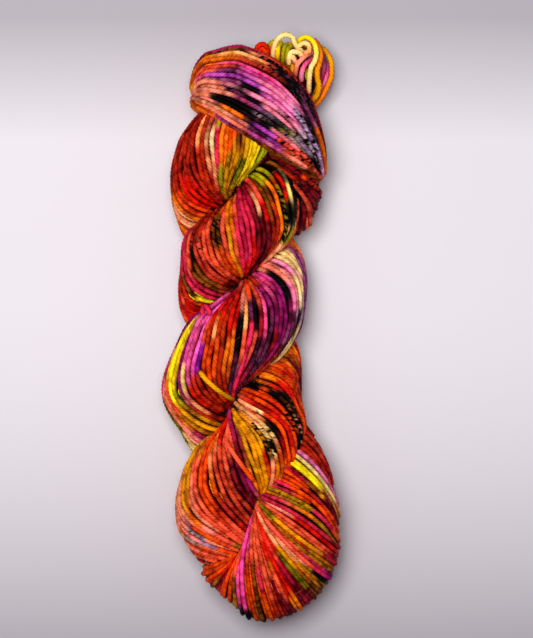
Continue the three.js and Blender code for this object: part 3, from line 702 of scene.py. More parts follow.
SPLASH_EDGE = 7.0           # how sharply one splash gives way to the next
SPLASH_NEAR = 1.4           # a splash belongs to the highest ring within this of its place,
SPLASH_MARGIN = 0.4         # or within this of the nearest one's distance
STRAND_OFFSET = (0.25, 3.0)     # how far a strand's dyes are displaced: in strands, in mm
TINT = (0.82, 1.1)          # how strongly a strand took up the dye
HUE = ((1, 0.84, 0.75), (1, 1.06, 1.3))     # and how far its red, green and blue stray
SOAK_WAVES = (4.1, 7.3, 12.7, 21.0)     # how the depth of the dye varies along a strand, in mm
SOAK_SPREAD = 0.12          # and from strand to strand
LOOSE_SOAK = 0.4            # how much less it varies on a strand of no course
LOOSE_CHANGE = (0.3, 0.7)   # where along such a strand one dye gives way to the other


def colour_strands(groups, rng):
    """Gives each ring of each strand its dye. A splash belongs to the strand that shows where
    it lies. Its reach is so many millimetres along the strands and so many across them, and a
    ring takes the splash that it is deepest in, with a soft edge."""
    strands = [strand for group in groups.values() for strand in group]
    lines, dye_k, dye_place = (np.concatenate([strand[key] for strand in strands])
                               for key in ("line", "dye_k", "dye_place"))
    owner = np.repeat(list(groups), [sum(len(strand["line"]) for strand in group)
                                     for group in groups.values()])
    spots = {name: [] for name in groups}
    for name, (x, y, along, across, speck) in splashes():
        flat = np.hypot(lines[:, 0] - x, lines[:, 1] - y)
        near = np.flatnonzero(flat < max(SPLASH_NEAR, flat.min() + SPLASH_MARGIN))
        best = near[np.argmax(lines[near, 2])]
        spots[owner[best]].append((*dye(name), speck, dye_k[best], dye_place[best], along, across))
    for name, group in groups.items():
        spot = np.array(spots[name])
        colours, (speck, spot_k, spot_place, along, across) = spot[:, :3], spot[:, 3:].T
        for strand in group:
            aside, ahead = rng.normal(0, STRAND_OFFSET)
            tint = rng.uniform(*TINT) * rng.uniform(*HUE)
            k = (strand["dye_k"] + aside)[:, None] - spot_k
            place = (strand["dye_place"] + ahead)[:, None] - spot_place
            far = np.hypot(k * NORMAL_PITCH / across, place / along)
            share = np.exp(-SPLASH_EDGE * (far - far.min(1, keepdims=True)))
            share /= share.sum(1, keepdims=True)
            strand["dye"] = (share @ colours) * tint
            strand["speck"] = share @ speck
            strand["soak"] = soak(rng, strand["place"])


def soak(rng, place):
    """How deeply the dye has soaked in along a strand: from 0, light, to 1."""
    total = sum(np.sin(2 * np.pi * (place / wave + rng.random())) for wave in SOAK_WAVES)
    return np.clip(0.5 + total / len(SOAK_WAVES) + rng.normal(0, SOAK_SPREAD), 0, 1)


def loose(line, dyes):
    """A strand that belongs to no course: its line, with a dye at each end."""
    arc = run_length(line)
    strand = resample(dict(line=line, out=np.tile((0.0, 0.0, 1.0), (len(line), 1)), place=arc))
    start, end = (np.array(dye(name)) for name in dyes.split())
    share = ease(strand["place"] / arc[-1], *LOOSE_CHANGE)[:, None]
    strand["dye"] = start * (1 - share) + end * share
    strand["speck"] = np.zeros(len(share))
    rng = np.random.default_rng(len(line) + len(dyes))
    strand["soak"] = LOOSE_SOAK * soak(rng, strand["place"])
    return strand


# ---------------------------------------------------------------- meshes
def new_piece(name, points, quads, material, uvs=None, triangles=None):
    """A smooth mesh object at the origin, from points in millimetres and corner lists."""
    corners = [quads] if triangles is None else [quads, triangles]
    flat = np.concatenate([c.ravel() for c in corners]).astype(np.int32)
    counts = np.concatenate([np.full(len(c), c.shape[1]) for c in corners]).astype(np.int32)
    mesh = bpy.data.meshes.new(name)
    mesh.vertices.add(len(points))
    mesh.vertices.foreach_set("co", (np.asarray(points) * MM).astype(np.float32).ravel())
    mesh.loops.add(len(flat))
    mesh.loops.foreach_set("vertex_index", flat)
    mesh.polygons.add(len(counts))
    mesh.polygons.foreach_set("loop_start", (np.cumsum(counts) - counts).astype(np.int32))
    mesh.polygons.foreach_set("loop_total", counts)
    mesh.update(calc_edges=True)
    mesh.polygons.foreach_set("use_smooth", np.ones(len(counts), bool))
    for layer, coordinates in (uvs or {}).items():
        uv = mesh.uv_layers.new(name=layer)
        uv.data.foreach_set("uv", coordinates.astype(np.float32).ravel())
    mesh.materials.append(material)
    piece = bpy.data.objects.new(name, mesh)
    bpy.context.scene.collection.objects.link(piece)
    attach(piece, "root")
    return piece


def put_attribute(piece, name, kind, values):
    """A value for every point of the piece."""
    layer = piece.data.attributes.new(name, kind, "POINT")
    field = "color" if kind == "FLOAT_COLOR" else "value"
    layer.data.foreach_set(field, np.asarray(values, np.float32).ravel())


CREST = 1.04                # a ply's crest and the valley between two, as shares of the radius
VALLEY = 0.87
END_TAPER = 0.35            # how thin a strand's end is, and the length of its taper
TAPER_LENGTH = 2.0
THICKNESS = (0.94, 1.06)    # how the thickness varies from strand to strand
SIDE_SHADE = (-0.35, 0.98)  # painted shade on a strand's sides, where it faces its neighbours, painted shade between its plies, and the deeper dye where it took up most the darkest and the lightest of this painted shade and dye that still differ
PLY_SHADE = 0.68            # between its plies,
SOAK_SHADE = 0.6            # and where it took up most dye
LIGHT_SPAN = (0.12, 0.88)   # the darkest and the lightest of this that still differ
WIND_LENGTH = 100           # mm of strand in a whole of the map that follows it
WIND_STAGGER = 0.731        # how much further on each strand starts in that map
STRIP_WIDTH = 8.2           # mm round a strand, in the map that gives each its own strip
STRIP_EDGES = (0.06, 0.88, 0.02, 0.96)      # a strip's margin and width, margin and length
CAP = np.array([(0, 1, 2, 3), (0, 3, 4, 7), (4, 5, 6, 7)])  # the faces that close a ring


def plied_rings(strand, radius, start):
    """The rings of a strand: eight points, a crest and a valley for each of four plies,
    which turn about the line once in each ply pitch. Also how much painted shade each point
    gets, on the sides that face its neighbours and in the valleys between its plies, together
    with the deeper dye where the strand soaked it up."""
    line, arc, out = strand["line"], strand["arc"], strand["out"]
    tangent = unit(np.gradient(line, axis=0))
    up = unit(out - (out * tangent).sum(1)[:, None] * tangent)
    side = np.cross(up, tangent)
    j = np.arange(SIDES)
    turn = start - 2 * np.pi * arc[:, None] / (sizes().ply_pitch / MM) + 2 * np.pi * j / SIDES
    from_end = np.minimum(arc, arc[-1] - arc)
    taper = np.clip(END_TAPER + from_end / TAPER_LENGTH, 0, 1)[:, None]
    reach = radius * taper * np.where(j % 2 == 0, CREST, VALLEY)[None, :]
    rings = line[:, None] + reach[..., None] * (
        np.cos(turn)[..., None] * side[:, None] + np.sin(turn)[..., None] * up[:, None])
    # painted shade: darker on the sides that face the neighbouring strands and in the valleys between
    # the plies
    light = ease(np.sin(turn), *SIDE_SHADE) * np.where(j % 2 == 0, 1.0, PLY_SHADE)
    light = light * (1 - SOAK_SHADE * strand["soak"][:, None])
    return rings, 1 - np.clip((light - LIGHT_SPAN[0]) / (LIGHT_SPAN[1] - LIGHT_SPAN[0]), 0, 1)


def strand_piece(name, strands, material, scale=1.0):
    """One mesh of many strands, each a little thicker or thinner. The map named Wind runs
    round a ring and along the strand, and the other map gives each strand its own strip."""
    rng = np.random.default_rng(SEED + len(strands))
    radius = sizes().strand_radius / MM * scale
    longest = max(strand["arc"][-1] for strand in strands)
    rows = max(1, int(round(np.sqrt(len(strands) * STRIP_WIDTH / longest))))
    columns = int(np.ceil(len(strands) / rows))
    edge_u, wide_u, edge_v, wide_v = STRIP_EDGES
    points, quads, wind, strips, dyes, specks, shade_and_soak = [], [], [], [], [], [], []
    base = 0
    for number, strand in enumerate(strands):
        thickness, start = rng.uniform(*THICKNESS), rng.uniform(0, 2 * np.pi)
        rings, depth = plied_rings(strand, radius * thickness, start)
        count = len(rings)
        i, j = np.arange(count - 1)[:, None], np.arange(SIDES)[None, :]
        corner = base + i * SIDES
        nxt = (j + 1) % SIDES
        quads.append(np.stack([corner + j, corner + j + SIDES, corner + nxt + SIDES, corner + nxt],
                              -1).reshape(-1, 4))
        around = np.broadcast_to(np.stack([j, j, j + 1, j + 1], -1) / SIDES, (count - 1, SIDES, 4))
        along = strand["arc"][np.stack([i, i + 1, i + 1, i], -1)]
        along = np.broadcast_to(along, (count - 1, SIDES, 4))
        far = along / WIND_LENGTH + WIND_STAGGER * number
        wind.append(np.stack([around, far], -1).reshape(-1, 2))
        column, row = number % columns, number // columns
        u = (column + edge_u + wide_u * around) / columns
        v = (row + edge_v + wide_v * along / longest) / rows
        strips.append(np.stack([u, v], -1).reshape(-1, 2))
        ends = np.concatenate([base + CAP, base + (count - 1) * SIDES + CAP[:, ::-1]])
        corner_uv = ((column + edge_u / 2) / columns, (row + edge_v / 2) / rows)
        quads.append(ends)
        wind.append(np.zeros((ends.size, 2)))
        strips.append(np.tile(corner_uv, (ends.size, 1)))
        points.append(rings.reshape(-1, 3))
        dyes.append(np.repeat(np.column_stack([strand["dye"], np.ones(count)]), SIDES, axis=0))
        specks.append(np.repeat(strand["speck"], SIDES))
        shade_and_soak.append(depth.ravel())
        base += count * SIDES
    piece = new_piece(name, np.concatenate(points), np.concatenate(quads), material,
                      {"Wind": np.concatenate(wind), "OFBake": np.concatenate(strips)})
    put_attribute(piece, "dye", "FLOAT_COLOR", np.concatenate(dyes))
    put_attribute(piece, "speck", "FLOAT", np.concatenate(specks))
    # depth holds the painted shade of the strand sides and the ply valleys, with the deeper dye where
    # the strand soaked it up
    put_attribute(piece, "depth", "FLOAT", np.concatenate(shade_and_soak))
    return piece


def closed_grid(points):
    """Corner lists of a grid closed round its second way, with a fan of faces at each end."""
    rows, sides = points.shape[:2]
    i, j = np.arange(rows - 1)[:, None], np.arange(sides)[None, :]
    nxt = (j + 1) % sides
    quads = np.stack([i * sides + j, (i + 1) * sides + j, (i + 1) * sides + nxt, i * sides + nxt],
                     -1).reshape(-1, 4)
    tip, side = rows * sides, np.arange(sides)
    after = (side + 1) % sides
    last = (rows - 1) * sides
    triangles = np.concatenate([np.stack([np.full(sides, tip), side, after], -1),
                                np.stack([np.full(sides, tip + 1), last + after, last + side], -1)])
    flat = np.concatenate([points.reshape(-1, 3), [points[0].mean(0), points[-1].mean(0)]])
    return flat, quads, triangles


CORE_FLOOR = 1.6            # how far over the surface the filling stays
CORE_SHARE = 0.05           # what is left of it where it is thinnest


def wound_core(name, points, centre, depth, material):
    """A closed filling under the strands: a skin drawn in towards its own middle by depth."""
    away = points - centre
    length = np.linalg.norm(away, axis=-1, keepdims=True)
    points = centre + away * np.clip(1 - depth / np.maximum(length, 1e-6), CORE_SHARE, 1)
    points[..., 2] = np.clip(points[..., 2], CORE_FLOOR, None)
    flat, quads, triangles = closed_grid(points)
    return new_piece(name, flat, quads, material, triangles=triangles)


# ---------------------------------------------------------------- materials
GRAIN = 0.7                 # how far fibres and mottle make a point deeper or lighter
PALE_OPENING = 0.35         # how much less painted shade a pale dye gets how much more of the dye the light takes on in the painted shade the painted highlight on an open strand, how much of it the painted shade takes, and how late
DEEP_RICHNESS = 0.7         # how much more of the dye the light takes on in the depth
OPEN_LIGHT = 1.4            # the light on an open strand, how much of it the depth takes, and
DEEP_LOSS = 1.36            # how late
DEEP_POWER = 1.4
FLECK_LIMIT = 0.76          # what the noise has to pass for a fleck, and how much less where
FLECK_EASE = 0.42           # all is speckled
FLECK_EDGE = 8.0
FLECK_DARKNESS = 0.5        # a fleck's colour, as a share of the black dye
WOOL_ROUGHNESS = 0.6
WOOL_SPECULAR = 0.04
# painted shade: the filling under the strands, near-black wine as the inner strands look in shadow
CORE_SHADE_TONES = ((0, 0.002, 0.0004, 0.0004), (1, 0.03, 0.002, 0.0015))
SURFACE_PALE = (0.76, 0.715, 0.755, 1)      # the surface beside the hank, and where it lies in painted shade
SURFACE_SHADED = (0.36, 0.325, 0.36, 1)
PAINTED_FALLOFF = (                 # y at which the painted shade starts, its reach and way in mm, its power, its most
    (24, -184, 2.0, 1.0), (92, 60, 1.0, 0.875),
)


def node_tree(name):
    """A new material of a name, with its nodes, its shader and the piece's own space."""
    material = bpy.data.materials.new(name)
    material.use_nodes = True
    tree = material.node_tree
    place = tree.nodes.new("ShaderNodeTexCoord").outputs["Object"]
    return material, tree, tree.nodes["Principled BSDF"], place


def fill(tree, socket, value):
    """Gives a socket another socket's value, or a number or a colour of its own."""
    if isinstance(value, bpy.types.NodeSocket):
        tree.links.new(value, socket)
    else:
        socket.default_value = value


def maths(tree, operation, *values, clamp=False):
    """A Math node. Each value is a socket or a number."""
    node = tree.nodes.new("ShaderNodeMath")
    node.operation = operation
    node.use_clamp = clamp
    for socket, value in zip(node.inputs, values):
        fill(tree, socket, value)
    return node.outputs[0]


def noise(tree, vector, scale, detail, roughness=0.5, stretch=None):
    """A noise texture's value, read in a given space, which may be stretched first."""
    if stretch:
        mapping = tree.nodes.new("ShaderNodeMapping")
        mapping.inputs["Scale"].default_value = stretch
        tree.links.new(vector, mapping.inputs["Vector"])
        vector = mapping.outputs["Vector"]
    node = tree.nodes.new("ShaderNodeTexNoise")
    node.inputs["Scale"].default_value = scale
    node.inputs["Detail"].default_value = detail
    node.inputs["Roughness"].default_value = roughness
    tree.links.new(vector, node.inputs["Vector"])
    return node.outputs["Fac"]


def attribute(tree, name, output="Fac"):
    """A value or a colour that the piece holds for each of its points."""
    node = tree.nodes.new("ShaderNodeAttribute")
    node.attribute_name = name
    return node.outputs[output]


def times(tree, colour, value):
    """A colour scaled by a value."""
    node = tree.nodes.new("ShaderNodeVectorMath")
    node.operation = "SCALE"
    tree.links.new(colour, node.inputs[0])
    tree.links.new(value, node.inputs["Scale"])
    return node.outputs[0]


def mixed(tree, blend, share, first, second):
    """Two colours mixed by a share. Each is a socket or a colour."""
    node = tree.nodes.new("ShaderNodeMix")
    node.data_type = "RGBA"
    node.blend_type = blend
    for place, value in zip((0, 6, 7), (share, first, second)):
        fill(tree, node.inputs[place], value)
    return node.outputs[2]


def ramp(tree, value, tones):
    """A colour for each value, from rows of a place, red, green and blue."""
    node = tree.nodes.new("ShaderNodeValToRGB")
    for stop, (spot, *tone) in zip(node.color_ramp.elements, tones):
        stop.position = spot
        stop.color = (*tone, 1)
    tree.links.new(value, node.inputs["Fac"])
    return node.outputs["Color"]


def raised(tree, shader, height, strength, distance):
    """Gives the shader the bumps of a height."""
    bump = tree.nodes.new("ShaderNodeBump")
    bump.inputs["Strength"].default_value = strength
    bump.inputs["Distance"].default_value = distance
    tree.links.new(height, bump.inputs["Height"])
    tree.links.new(bump.outputs["Normal"], shader.inputs["Normal"])


def yarn_material():
    """Dyed four-ply wool, with painted shade and a painted highlight. The dye of each point is
    multiplied by itself where the point is deep in painted shade, soaked-in dye and grain, as
    light that is thrown from fibre to fibre takes on more of the dye, and darkened there as
    painted shade; where the point is open it is brightened as a painted highlight. It is
    streaked along the fibres and has black flecks where speckled."""
    if "dyed_yarn" in bpy.data.materials:
        return bpy.data.materials["dyed_yarn"]
    material, tree, shader, place = node_tree("dyed_yarn")
    uv_map = tree.nodes.new("ShaderNodeUVMap")
    uv_map.uv_map = "Wind"
    wind = uv_map.outputs["UV"]
    fibres = noise(tree, wind, scale=3.0, detail=3.0, roughness=0.6, stretch=(30, 22, 1))
    mottle = noise(tree, place, scale=420.0, detail=2.0)
    grain = maths(tree, "MULTIPLY_ADD", maths(tree, "ADD", fibres, mottle), GRAIN, -GRAIN)
    # deep: the painted shade and soaked-in dye of the depth attribute, with the grain
    deep = maths(tree, "ADD", attribute(tree, "depth"), grain, clamp=True)
    opening = maths(tree, "MULTIPLY_ADD", attribute(tree, "dye"), -PALE_OPENING, 1.0)
    deep = maths(tree, "MULTIPLY", deep, opening)
    dyed = attribute(tree, "dye", "Color")
    # painted shade and painted highlight: the dye taken times itself and darkened where deep,
    # brightened where open
    rich = maths(tree, "MULTIPLY_ADD", deep, DEEP_RICHNESS, 1 - DEEP_RICHNESS)
    twice = mixed(tree, "MULTIPLY", rich, dyed, dyed)
    lost = maths(tree, "POWER", deep, DEEP_POWER)
    shaded = times(tree, twice, maths(tree, "MULTIPLY_ADD", lost, -DEEP_LOSS, OPEN_LIGHT))
    fleck = noise(tree, wind, scale=1.0, detail=1.0, stretch=(2.6, 34, 1))
    limit = maths(tree, "MULTIPLY_ADD", attribute(tree, "speck"), -FLECK_EASE, FLECK_LIMIT)
    mask = maths(tree, "MULTIPLY", maths(tree, "SUBTRACT", fleck, limit), FLECK_EDGE, clamp=True)
    black = (*(FLECK_DARKNESS * c for c in dye("black")), 1)
    tree.links.new(mixed(tree, "MIX", mask, shaded, black), shader.inputs["Base Color"])
    raised(tree, shader, fibres, strength=0.5, distance=0.00025)
    shader.inputs["Roughness"].default_value = WOOL_ROUGHNESS
    shader.inputs["Specular IOR Level"].default_value = WOOL_SPECULAR
    return material


def core_material():
    """Strands below the surface, painted as in shade: near-black wine with darker grooves along the
    hank.
    """
    if "inner_yarn" in bpy.data.materials:
        return bpy.data.materials["inner_yarn"]
    material, tree, shader, place = node_tree("inner_yarn")
    lines = noise(tree, place, scale=1.0, detail=2.0, stretch=(420, 60, 420))
    tree.links.new(ramp(tree, lines, CORE_SHADE_TONES), shader.inputs["Base Color"])
    raised(tree, shader, lines, strength=0.8, distance=0.001)
    shader.inputs["Roughness"].default_value = 0.9
    shader.inputs["Specular IOR Level"].default_value = WOOL_SPECULAR
    return material


def hair_material():
    """Loose fibres in the dye of their strand, at half to all of its strength."""
    if "loose_fibre" in bpy.data.materials:
        return bpy.data.materials["loose_fibre"]
    material, tree, shader, place = node_tree("loose_fibre")
    pale = maths(tree, "MULTIPLY_ADD", noise(tree, place, scale=90.0, detail=1.0), 0.5, 0.5)
    tree.links.new(times(tree, attribute(tree, "dye", "Color"), pale), shader.inputs["Base Color"])
    shader.inputs["Roughness"].default_value = WOOL_ROUGHNESS
    shader.inputs["Sheen Weight"].default_value = 0.3
    return material


def stage_material():
    """A smooth pale surface with painted light: palest beside the hank, and darkened by painted shade
    past its two ends.
    """
    material, tree, shader, place = node_tree("pale_surface")
    split = tree.nodes.new("ShaderNodeSeparateXYZ")
    tree.links.new(place, split.inputs["Vector"])
    share = 0.0
    for start, reach, power, most in PAINTED_FALLOFF:
        way = maths(tree, "MULTIPLY_ADD", split.outputs["Y"], 1 / (reach * MM), -start / reach,
                    clamp=True)
        share = maths(tree, "MULTIPLY_ADD", maths(tree, "POWER", way, power), most, share)
    tree.links.new(mixed(tree, "MIX", share, SURFACE_PALE, SURFACE_SHADED),
                   shader.inputs["Base Color"])
    shader.inputs["Roughness"].default_value = 0.55
    return material


# ---------------------------------------------------------------- sizes and dyes
def linear(red, green, blue):
    """A colour of screen values from 0 to 255 as the renderer's linear values."""
    c = np.array([red, green, blue]) / 255
    return tuple(float(v) for v in np.where(c <= 0.04045, c / 12.92, ((c + 0.055) / 1.055) ** 2.4))


def dye_setting(name, look, *screen):
    """A colour that the user can change, from its screen values."""
    return FloatVectorProperty(name=name, description=look, default=linear(*screen), size=3,
                               min=0, max=1, subtype="COLOR")


class YarnSizes(PropertyGroup):
    """The sizes of the yarn"""
    strand_radius: FloatProperty(
        name="Strand radius", description="Half the thickness of a strand", default=1.27 * MM,
        min=0.5 * MM, max=3 * MM, subtype="DISTANCE", unit="LENGTH", precision=5)
    ply_pitch: FloatProperty(
        name="Ply pitch", description="Length in which a ply turns once", default=7.6 * MM,
        min=3 * MM, max=30 * MM, subtype="DISTANCE", unit="LENGTH", precision=5)
    hair_count: IntProperty(
        name="Loose hairs", description="How many fine fibres stand out of the strands",
        default=2600, min=0, max=8000)
    hair_length: FloatProperty(
        name="Hair length", description="Longest reach of a loose fibre", default=5.5 * MM,
        min=1 * MM, max=15 * MM, subtype="DISTANCE", unit="LENGTH", precision=5)


class YarnDyes(PropertyGroup):
    """The dyes of the yarn"""
    rust: dye_setting("Rust", "dark red brown", 198, 50, 12)
    brick: dye_setting("Brick", "dull red", 212, 74, 40)
    orange: dye_setting("Orange", "full orange", 240, 92, 6)
    tangerine: dye_setting("Tangerine", "golden orange", 248, 144, 20)
    peach: dye_setting("Peach", "pale orange", 254, 182, 120)
    cream: dye_setting("Cream", "warm off-white", 254, 228, 158)
    gold: dye_setting("Gold", "deep yellow", 238, 172, 6)
    mustard: dye_setting("Mustard", "brownish yellow", 200, 144, 8)
    yellow: dye_setting("Yellow", "clear yellow", 250, 226, 24)
    lime: dye_setting("Lime", "yellow green", 196, 190, 10)
    olive: dye_setting("Olive", "dark yellow green", 152, 138, 6)
    scarlet: dye_setting("Scarlet", "bright red", 230, 28, 6)
    crimson: dye_setting("Crimson", "blue red", 190, 22, 52)
    cerise: dye_setting("Cerise", "strong pink red", 228, 50, 92)
    coral: dye_setting("Coral", "orange pink", 244, 108, 66)
    blush: dye_setting("Blush", "pale salmon", 250, 162, 132)
    rose: dye_setting("Rose", "pale pink", 248, 150, 180)
    pink: dye_setting("Pink", "hot pink", 240, 92, 156)
    candy: dye_setting("Candy", "light vivid pink", 250, 118, 196)
    fuchsia: dye_setting("Fuchsia", "deep pink", 204, 40, 112)
    magenta: dye_setting("Magenta", "purple pink", 172, 28, 116)
    orchid: dye_setting("Orchid", "light purple", 198, 88, 172)
    violet: dye_setting("Violet", "strong purple", 176, 30, 180)
    mauve: dye_setting("Mauve", "dull purple", 178, 96, 134)
    smoke: dye_setting("Smoke", "grey lavender", 196, 164, 178)
    plum: dye_setting("Plum", "dark purple", 116, 44, 82)
    wine: dye_setting("Wine", "dark red", 140, 12, 30)
    umber: dye_setting("Umber", "dark golden brown", 156, 86, 10)
    black: dye_setting("Black", "black", 10, 6, 10)


def sizes():
    """The sizes as the user has set them."""
    return bpy.context.scene.yarn_sizes


def dye(name):
    """The linear colour of a named dye."""
    return tuple(getattr(bpy.context.scene.yarn_dyes, name))


# ---------------------------------------------------------------- operators
SURFACE_REACH = 1500.0      # mm from the middle of the surface to its sides
LENS = 180.0                # of the camera, and the longer side of its film
SENSOR = 36.0
VIEW_HEIGHT = 306.2         # mm of the hank's middle plane that the view is long
VIEW_CENTRE = (7.2, 4.56)
ROOM_COLOUR = (0.95, 0.93, 1.0, 1)
ROOM_STRENGTH = 0.25
LIGHT_CENTRE = (0.0, 0.02, 0.0)     # where the lamps aim
LAMPS = (                   # name, place and size in metres, watts
    ("overhead", (-0.14, 0.16, 1.3), 0.5, 15.2),
)
CORE_DEPTH = 3.6            # how far below the skin the filling of the rope and the collar lies
FAN_CORE_DEPTH = 4.2
ROPE_CORE = (-115, 108, 120)        # where each filling starts and ends, and its rings
COLLAR_CORE = (8, 70, 60)
FAN_CORES = (("bulb_core", BULB, -0.6, 13.0), ("shoulder_core", SHOULDER, 0.6, 4.2))
POLE = 1.45                 # the latitude in radians at which the tuft's filling is closed
BULB_THICKNESS = 0.88       # the bulb's strands lie closer, and the tuft's more loosely
TUFT_THICKNESS = 1.06
HAIR_STEPS = 5              # points along a hair, and round it
HAIR_SIDES = 3
HAIR_RADIUS = 0.045
HAIR_TAPER = 0.6            # how much thinner a hair is at its tip
HAIR_ROOT = 1.1             # how far out of its strand's middle it starts
HAIR_FLOOR = 0.1            # how far over the surface it stays
HAIR_REACH = (0.25, 1)      # how the reach, the rise and the bow of the hairs vary
HAIR_RISE = (0.3, 1.0)
HAIR_BOW = (1, 2.2)


class YARN_OT_stage(Operator):
    """Lay the surface, hang the lights and set the camera over the hank"""
    bl_idname = "yarn.stage"
    bl_label = "Stage"

    def execute(self, context):
        scene = context.scene
        corners = np.array([(-1, -1), (1, -1), (1, 1), (-1, 1)]) * SURFACE_REACH
        mesh = bpy.data.meshes.new("surface")
        mesh.from_pydata([(x * MM, y * MM, 0) for x, y in corners], [], [(0, 1, 2, 3)])
        mesh.materials.append(stage_material())
        surface = bpy.data.objects.new("surface", mesh)
        scene.collection.objects.link(surface)
        world = bpy.data.worlds.new("soft_room")
        world.use_nodes = True
        world.node_tree.nodes["Background"].inputs["Color"].default_value = ROOM_COLOUR
        world.node_tree.nodes["Background"].inputs["Strength"].default_value = ROOM_STRENGTH
        scene.world = world
        for name, place, size, energy in LAMPS:
            lamp = bpy.data.lights.new(name, "AREA")
            lamp.energy = energy
            lamp.size = size
            holder = bpy.data.objects.new(name, lamp)
            holder.location = place
            aim = Vector(place) - Vector(LIGHT_CENTRE)
            holder.rotation_euler = aim.to_track_quat("Z", "Y").to_euler()
            scene.collection.objects.link(holder)
        camera = bpy.data.cameras.new("camera")
        camera.lens = LENS
        camera.sensor_width = SENSOR
        camera.clip_end = 10.0
        holder = bpy.data.objects.new("camera", camera)
        away = LENS / SENSOR * VIEW_HEIGHT
        holder.location = (VIEW_CENTRE[0] * MM, VIEW_CENTRE[1] * MM, (MID + away) * MM)
        scene.collection.objects.link(holder)
        scene.camera = holder
        scene.view_settings.view_transform = "Standard"
        return {"FINISHED"}


def grid(down, across, closed=True):
    """The two ways of a grid, each from, to and in so many steps. A closed one leaves out the
    last step across, where it meets itself."""
    return np.linspace(*down)[:, None], np.linspace(*across, endpoint=not closed)[None, :]


def tuft_ball():
    """The tuft's filling: an egg that lies along the hank and leans aside."""
    c = TUFT_CORE
    lat, lon = grid((-POLE, POLE, 24), (0, 2 * np.pi, 32))
    cos, sin = np.cos(c["lean"]), np.sin(c["lean"])
    u, v = c["wide"] * np.cos(lat) * np.cos(lon), c["long"] * np.sin(lat) + 0 * lon
    return np.stack([c["x"] + u * cos - v * sin, c["y"] + u * sin + v * cos,
                     c["z"] + c["tall"] * np.cos(lat) * np.sin(lon)], -1)


class YARN_OT_core(Operator):
    """Fill the hank under its surface strands"""
    bl_idname = "yarn.core"
    bl_label = "Inner strands"

    def execute(self, context):
        material = core_material()
        y, turn = grid(ROPE_CORE, (0, 360, 72))
        axis = np.stack([through(ROPE, "y", "x", y), y, np.full_like(y, MID)], -1)
        rope = wound_core("rope_core", rope_skin(y, turn), axis, CORE_DEPTH, material)
        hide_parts("hank")
        skins = [(name, fan_skin(tab, *grid((low, high, 70), (-1, 1, 40), closed=False)),
                  FAN_CORE_DEPTH) for name, tab, low, high in FAN_CORES]
        skins.append(("collar_core", collar_skin(*grid(COLLAR_CORE, (-np.pi, np.pi, 64))),
                      CORE_DEPTH))
        skins.append(("tuft_core", tuft_ball(), 0.0))
        for name, skin, depth in skins:
            wound_core(name, skin, skin.mean(1, keepdims=True), depth, material)
        return {"FINISHED"}


def lay_group(group, halves, scale=1.0):
    """The strands of a group as pieces of about as many strands each."""
    strands = laid()[group]
    for half, share in enumerate(np.array_split(np.arange(len(strands)), halves)):
        chosen = [strands[i] for i in share]
        name = f"{group}_{half + 1}" if halves > 1 else group
        strand_piece(name, chosen, yarn_material(), scale)


class YARN_OT_rope(Operator):
    """Lay the strands of the rope's two plies"""
    bl_idname = "yarn.rope"
    bl_label = "Rope"

    def execute(self, context):
        lay_group("first_ply", 2)
        lay_group("second_ply", 2)
        return {"FINISHED"}


class YARN_OT_bulb(Operator):
    """Lay the strands of the bulb at the fold"""
    bl_idname = "yarn.bulb"
    bl_label = "Bulb"

    def execute(self, context):
        lay_group("bulb", 2, BULB_THICKNESS)
        return {"FINISHED"}


class YARN_OT_shoulder(Operator):
    """Lay the strands of the shoulder under the collar"""
    bl_idname = "yarn.shoulder"
    bl_label = "Shoulder"

    def execute(self, context):
        lay_group("shoulder", 1)
        return {"FINISHED"}


class YARN_OT_collar(Operator):
    """Lay the strands of the collar"""
    bl_idname = "yarn.collar"
    bl_label = "Collar"

    def execute(self, context):
        lay_group("collar", 1)
        return {"FINISHED"}


class YARN_OT_tuft(Operator):
    """Tie the tuft of small loops"""
    bl_idname = "yarn.tuft"
    bl_label = "Tuft"

    def execute(self, context):
        strands = [loose(line, loop[0]) for line, loop in zip(tuft_loops(), TUFT)]
        strand_piece("tuft", strands, yarn_material(), TUFT_THICKNESS)
        return {"FINISHED"}


class YARN_OT_strays(Operator):
    """Lay the stray strands across the rope"""
    bl_idname = "yarn.strays"
    bl_label = "Strays"

    def execute(self, context):
        strands = [loose(line, stray[0]) for line, stray in zip(stray_lines(), STRAYS)]
        strand_piece("strays", strands, yarn_material())
        return {"FINISHED"}


def hair_lines(rng, root, out):
    """Loose hairs from their roots, and the way that each sways. At the share t of its length
    a hair has risen by t (1.2 - 0.6 t) of its own rise and swayed aside by a power of t."""
    count = len(root)
    sway = rng.normal(0, 1, (count, 3))
    sway = unit(sway - (sway * out).sum(1)[:, None] * out)
    reach = sizes().hair_length / MM * rng.uniform(*HAIR_REACH, count) ** 1.5
    rise, bow = rng.uniform(*HAIR_RISE, count), rng.uniform(*HAIR_BOW, count)
    reach, rise, bow = (value[:, None, None] for value in (reach, rise, bow))
    t = np.linspace(0, 1, HAIR_STEPS)[None, :, None]
    line = (root + out * HAIR_ROOT)[:, None] + reach * (
        out[:, None] * rise * t * (1.2 - 0.6 * t) + sway[:, None] * t ** bow)
    line[..., 2] = np.maximum(line[..., 2], HAIR_FLOOR)
    return line, sway


def hair_rings(line, out, sway):
    """Three points round each step of each hair, closer towards its tip."""
    j = np.arange(HAIR_SIDES) * 2 * np.pi / HAIR_SIDES
    second = np.cross(out, sway)
    ring = np.cos(j)[None, :, None] * second[:, None] + np.sin(j)[None, :, None] * out[:, None]
    t = np.linspace(0, 1, HAIR_STEPS)[None, :, None, None]
    return line[:, :, None] + HAIR_RADIUS * (1 - HAIR_TAPER * t) * ring[:, None]


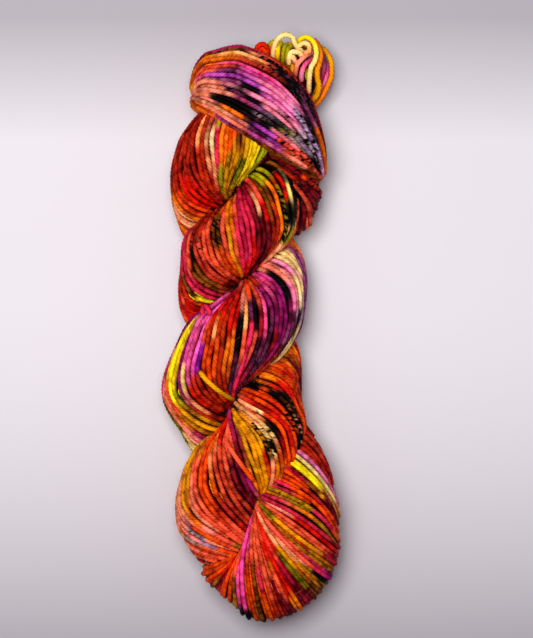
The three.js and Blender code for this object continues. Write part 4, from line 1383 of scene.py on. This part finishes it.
class YARN_OT_hairs(Operator):
    """Draw out the loose hairs"""
    bl_idname = "yarn.hairs"
    bl_label = "Loose hairs"

    def execute(self, context):
        rng = np.random.default_rng(SEED + 1)
        strands = [strand for group in laid().values() for strand in group]
        lines, outs, dyes = (np.concatenate([strand[key] for strand in strands])
                             for key in ("line", "out", "dye"))
        count, each = sizes().hair_count, HAIR_STEPS * HAIR_SIDES
        chosen = rng.integers(0, len(lines), count)
        line, sway = hair_lines(rng, lines[chosen], outs[chosen])
        points = hair_rings(line, outs[chosen], sway)
        base = np.arange(count)[:, None, None] * each
        i = np.arange(HAIR_STEPS - 1)[None, :, None] * HAIR_SIDES
        j = np.arange(HAIR_SIDES)[None, None, :]
        nxt = (j + 1) % HAIR_SIDES
        quads = np.stack([base + i + j, base + i + HAIR_SIDES + j, base + i + HAIR_SIDES + nxt,
                          base + i + nxt], -1)
        first = base[:, 0] + np.array([0, 1, 2])
        last = base[:, 0] + each - HAIR_SIDES + np.array([0, 2, 1])
        piece = new_piece("hairs", points.reshape(-1, 3), quads.reshape(-1, 4), hair_material(),
                          triangles=np.concatenate([first, last]))
        tones = np.column_stack([dyes[chosen], np.ones(count)])
        put_attribute(piece, "dye", "FLOAT_COLOR", np.repeat(tones, each, axis=0))
        return {"FINISHED"}


class YARN_PT_panel(Panel):
    """Sizes, dyes and pieces of the hank"""
    bl_label = "Yarn hank"
    bl_idname = "YARN_PT_panel"
    bl_space_type = "VIEW_3D"
    bl_region_type = "UI"
    bl_category = "Yarn"

    def draw(self, context):
        scene = context.scene
        for group in (scene.yarn_sizes, scene.yarn_dyes):
            box = self.layout.box()
            for name in type(group).__annotations__:
                box.prop(group, name)
        for operator in OPERATORS:
            self.layout.operator(operator.bl_idname)


OPERATORS = (YARN_OT_stage, YARN_OT_core, YARN_OT_rope, YARN_OT_bulb, YARN_OT_shoulder,
             YARN_OT_collar, YARN_OT_tuft, YARN_OT_strays, YARN_OT_hairs)
CLASSES = (YarnSizes, YarnDyes, *OPERATORS, YARN_PT_panel)


def register():
    """Adds the settings, the operators and the panel."""
    for cls in CLASSES:
        bpy.utils.register_class(cls)
    bpy.types.Scene.yarn_sizes = PointerProperty(type=YarnSizes)
    bpy.types.Scene.yarn_dyes = PointerProperty(type=YarnDyes)


def unregister():
    """Takes them away again."""
    del bpy.types.Scene.yarn_dyes
    del bpy.types.Scene.yarn_sizes
    for cls in reversed(CLASSES):
        bpy.utils.unregister_class(cls)


def main():
    """Makes every piece in order."""
    register()
    for operator in OPERATORS:
        category, name = operator.bl_idname.split(".")
        getattr(getattr(bpy.ops, category), name)()


if __name__ == "__main__":
    main()
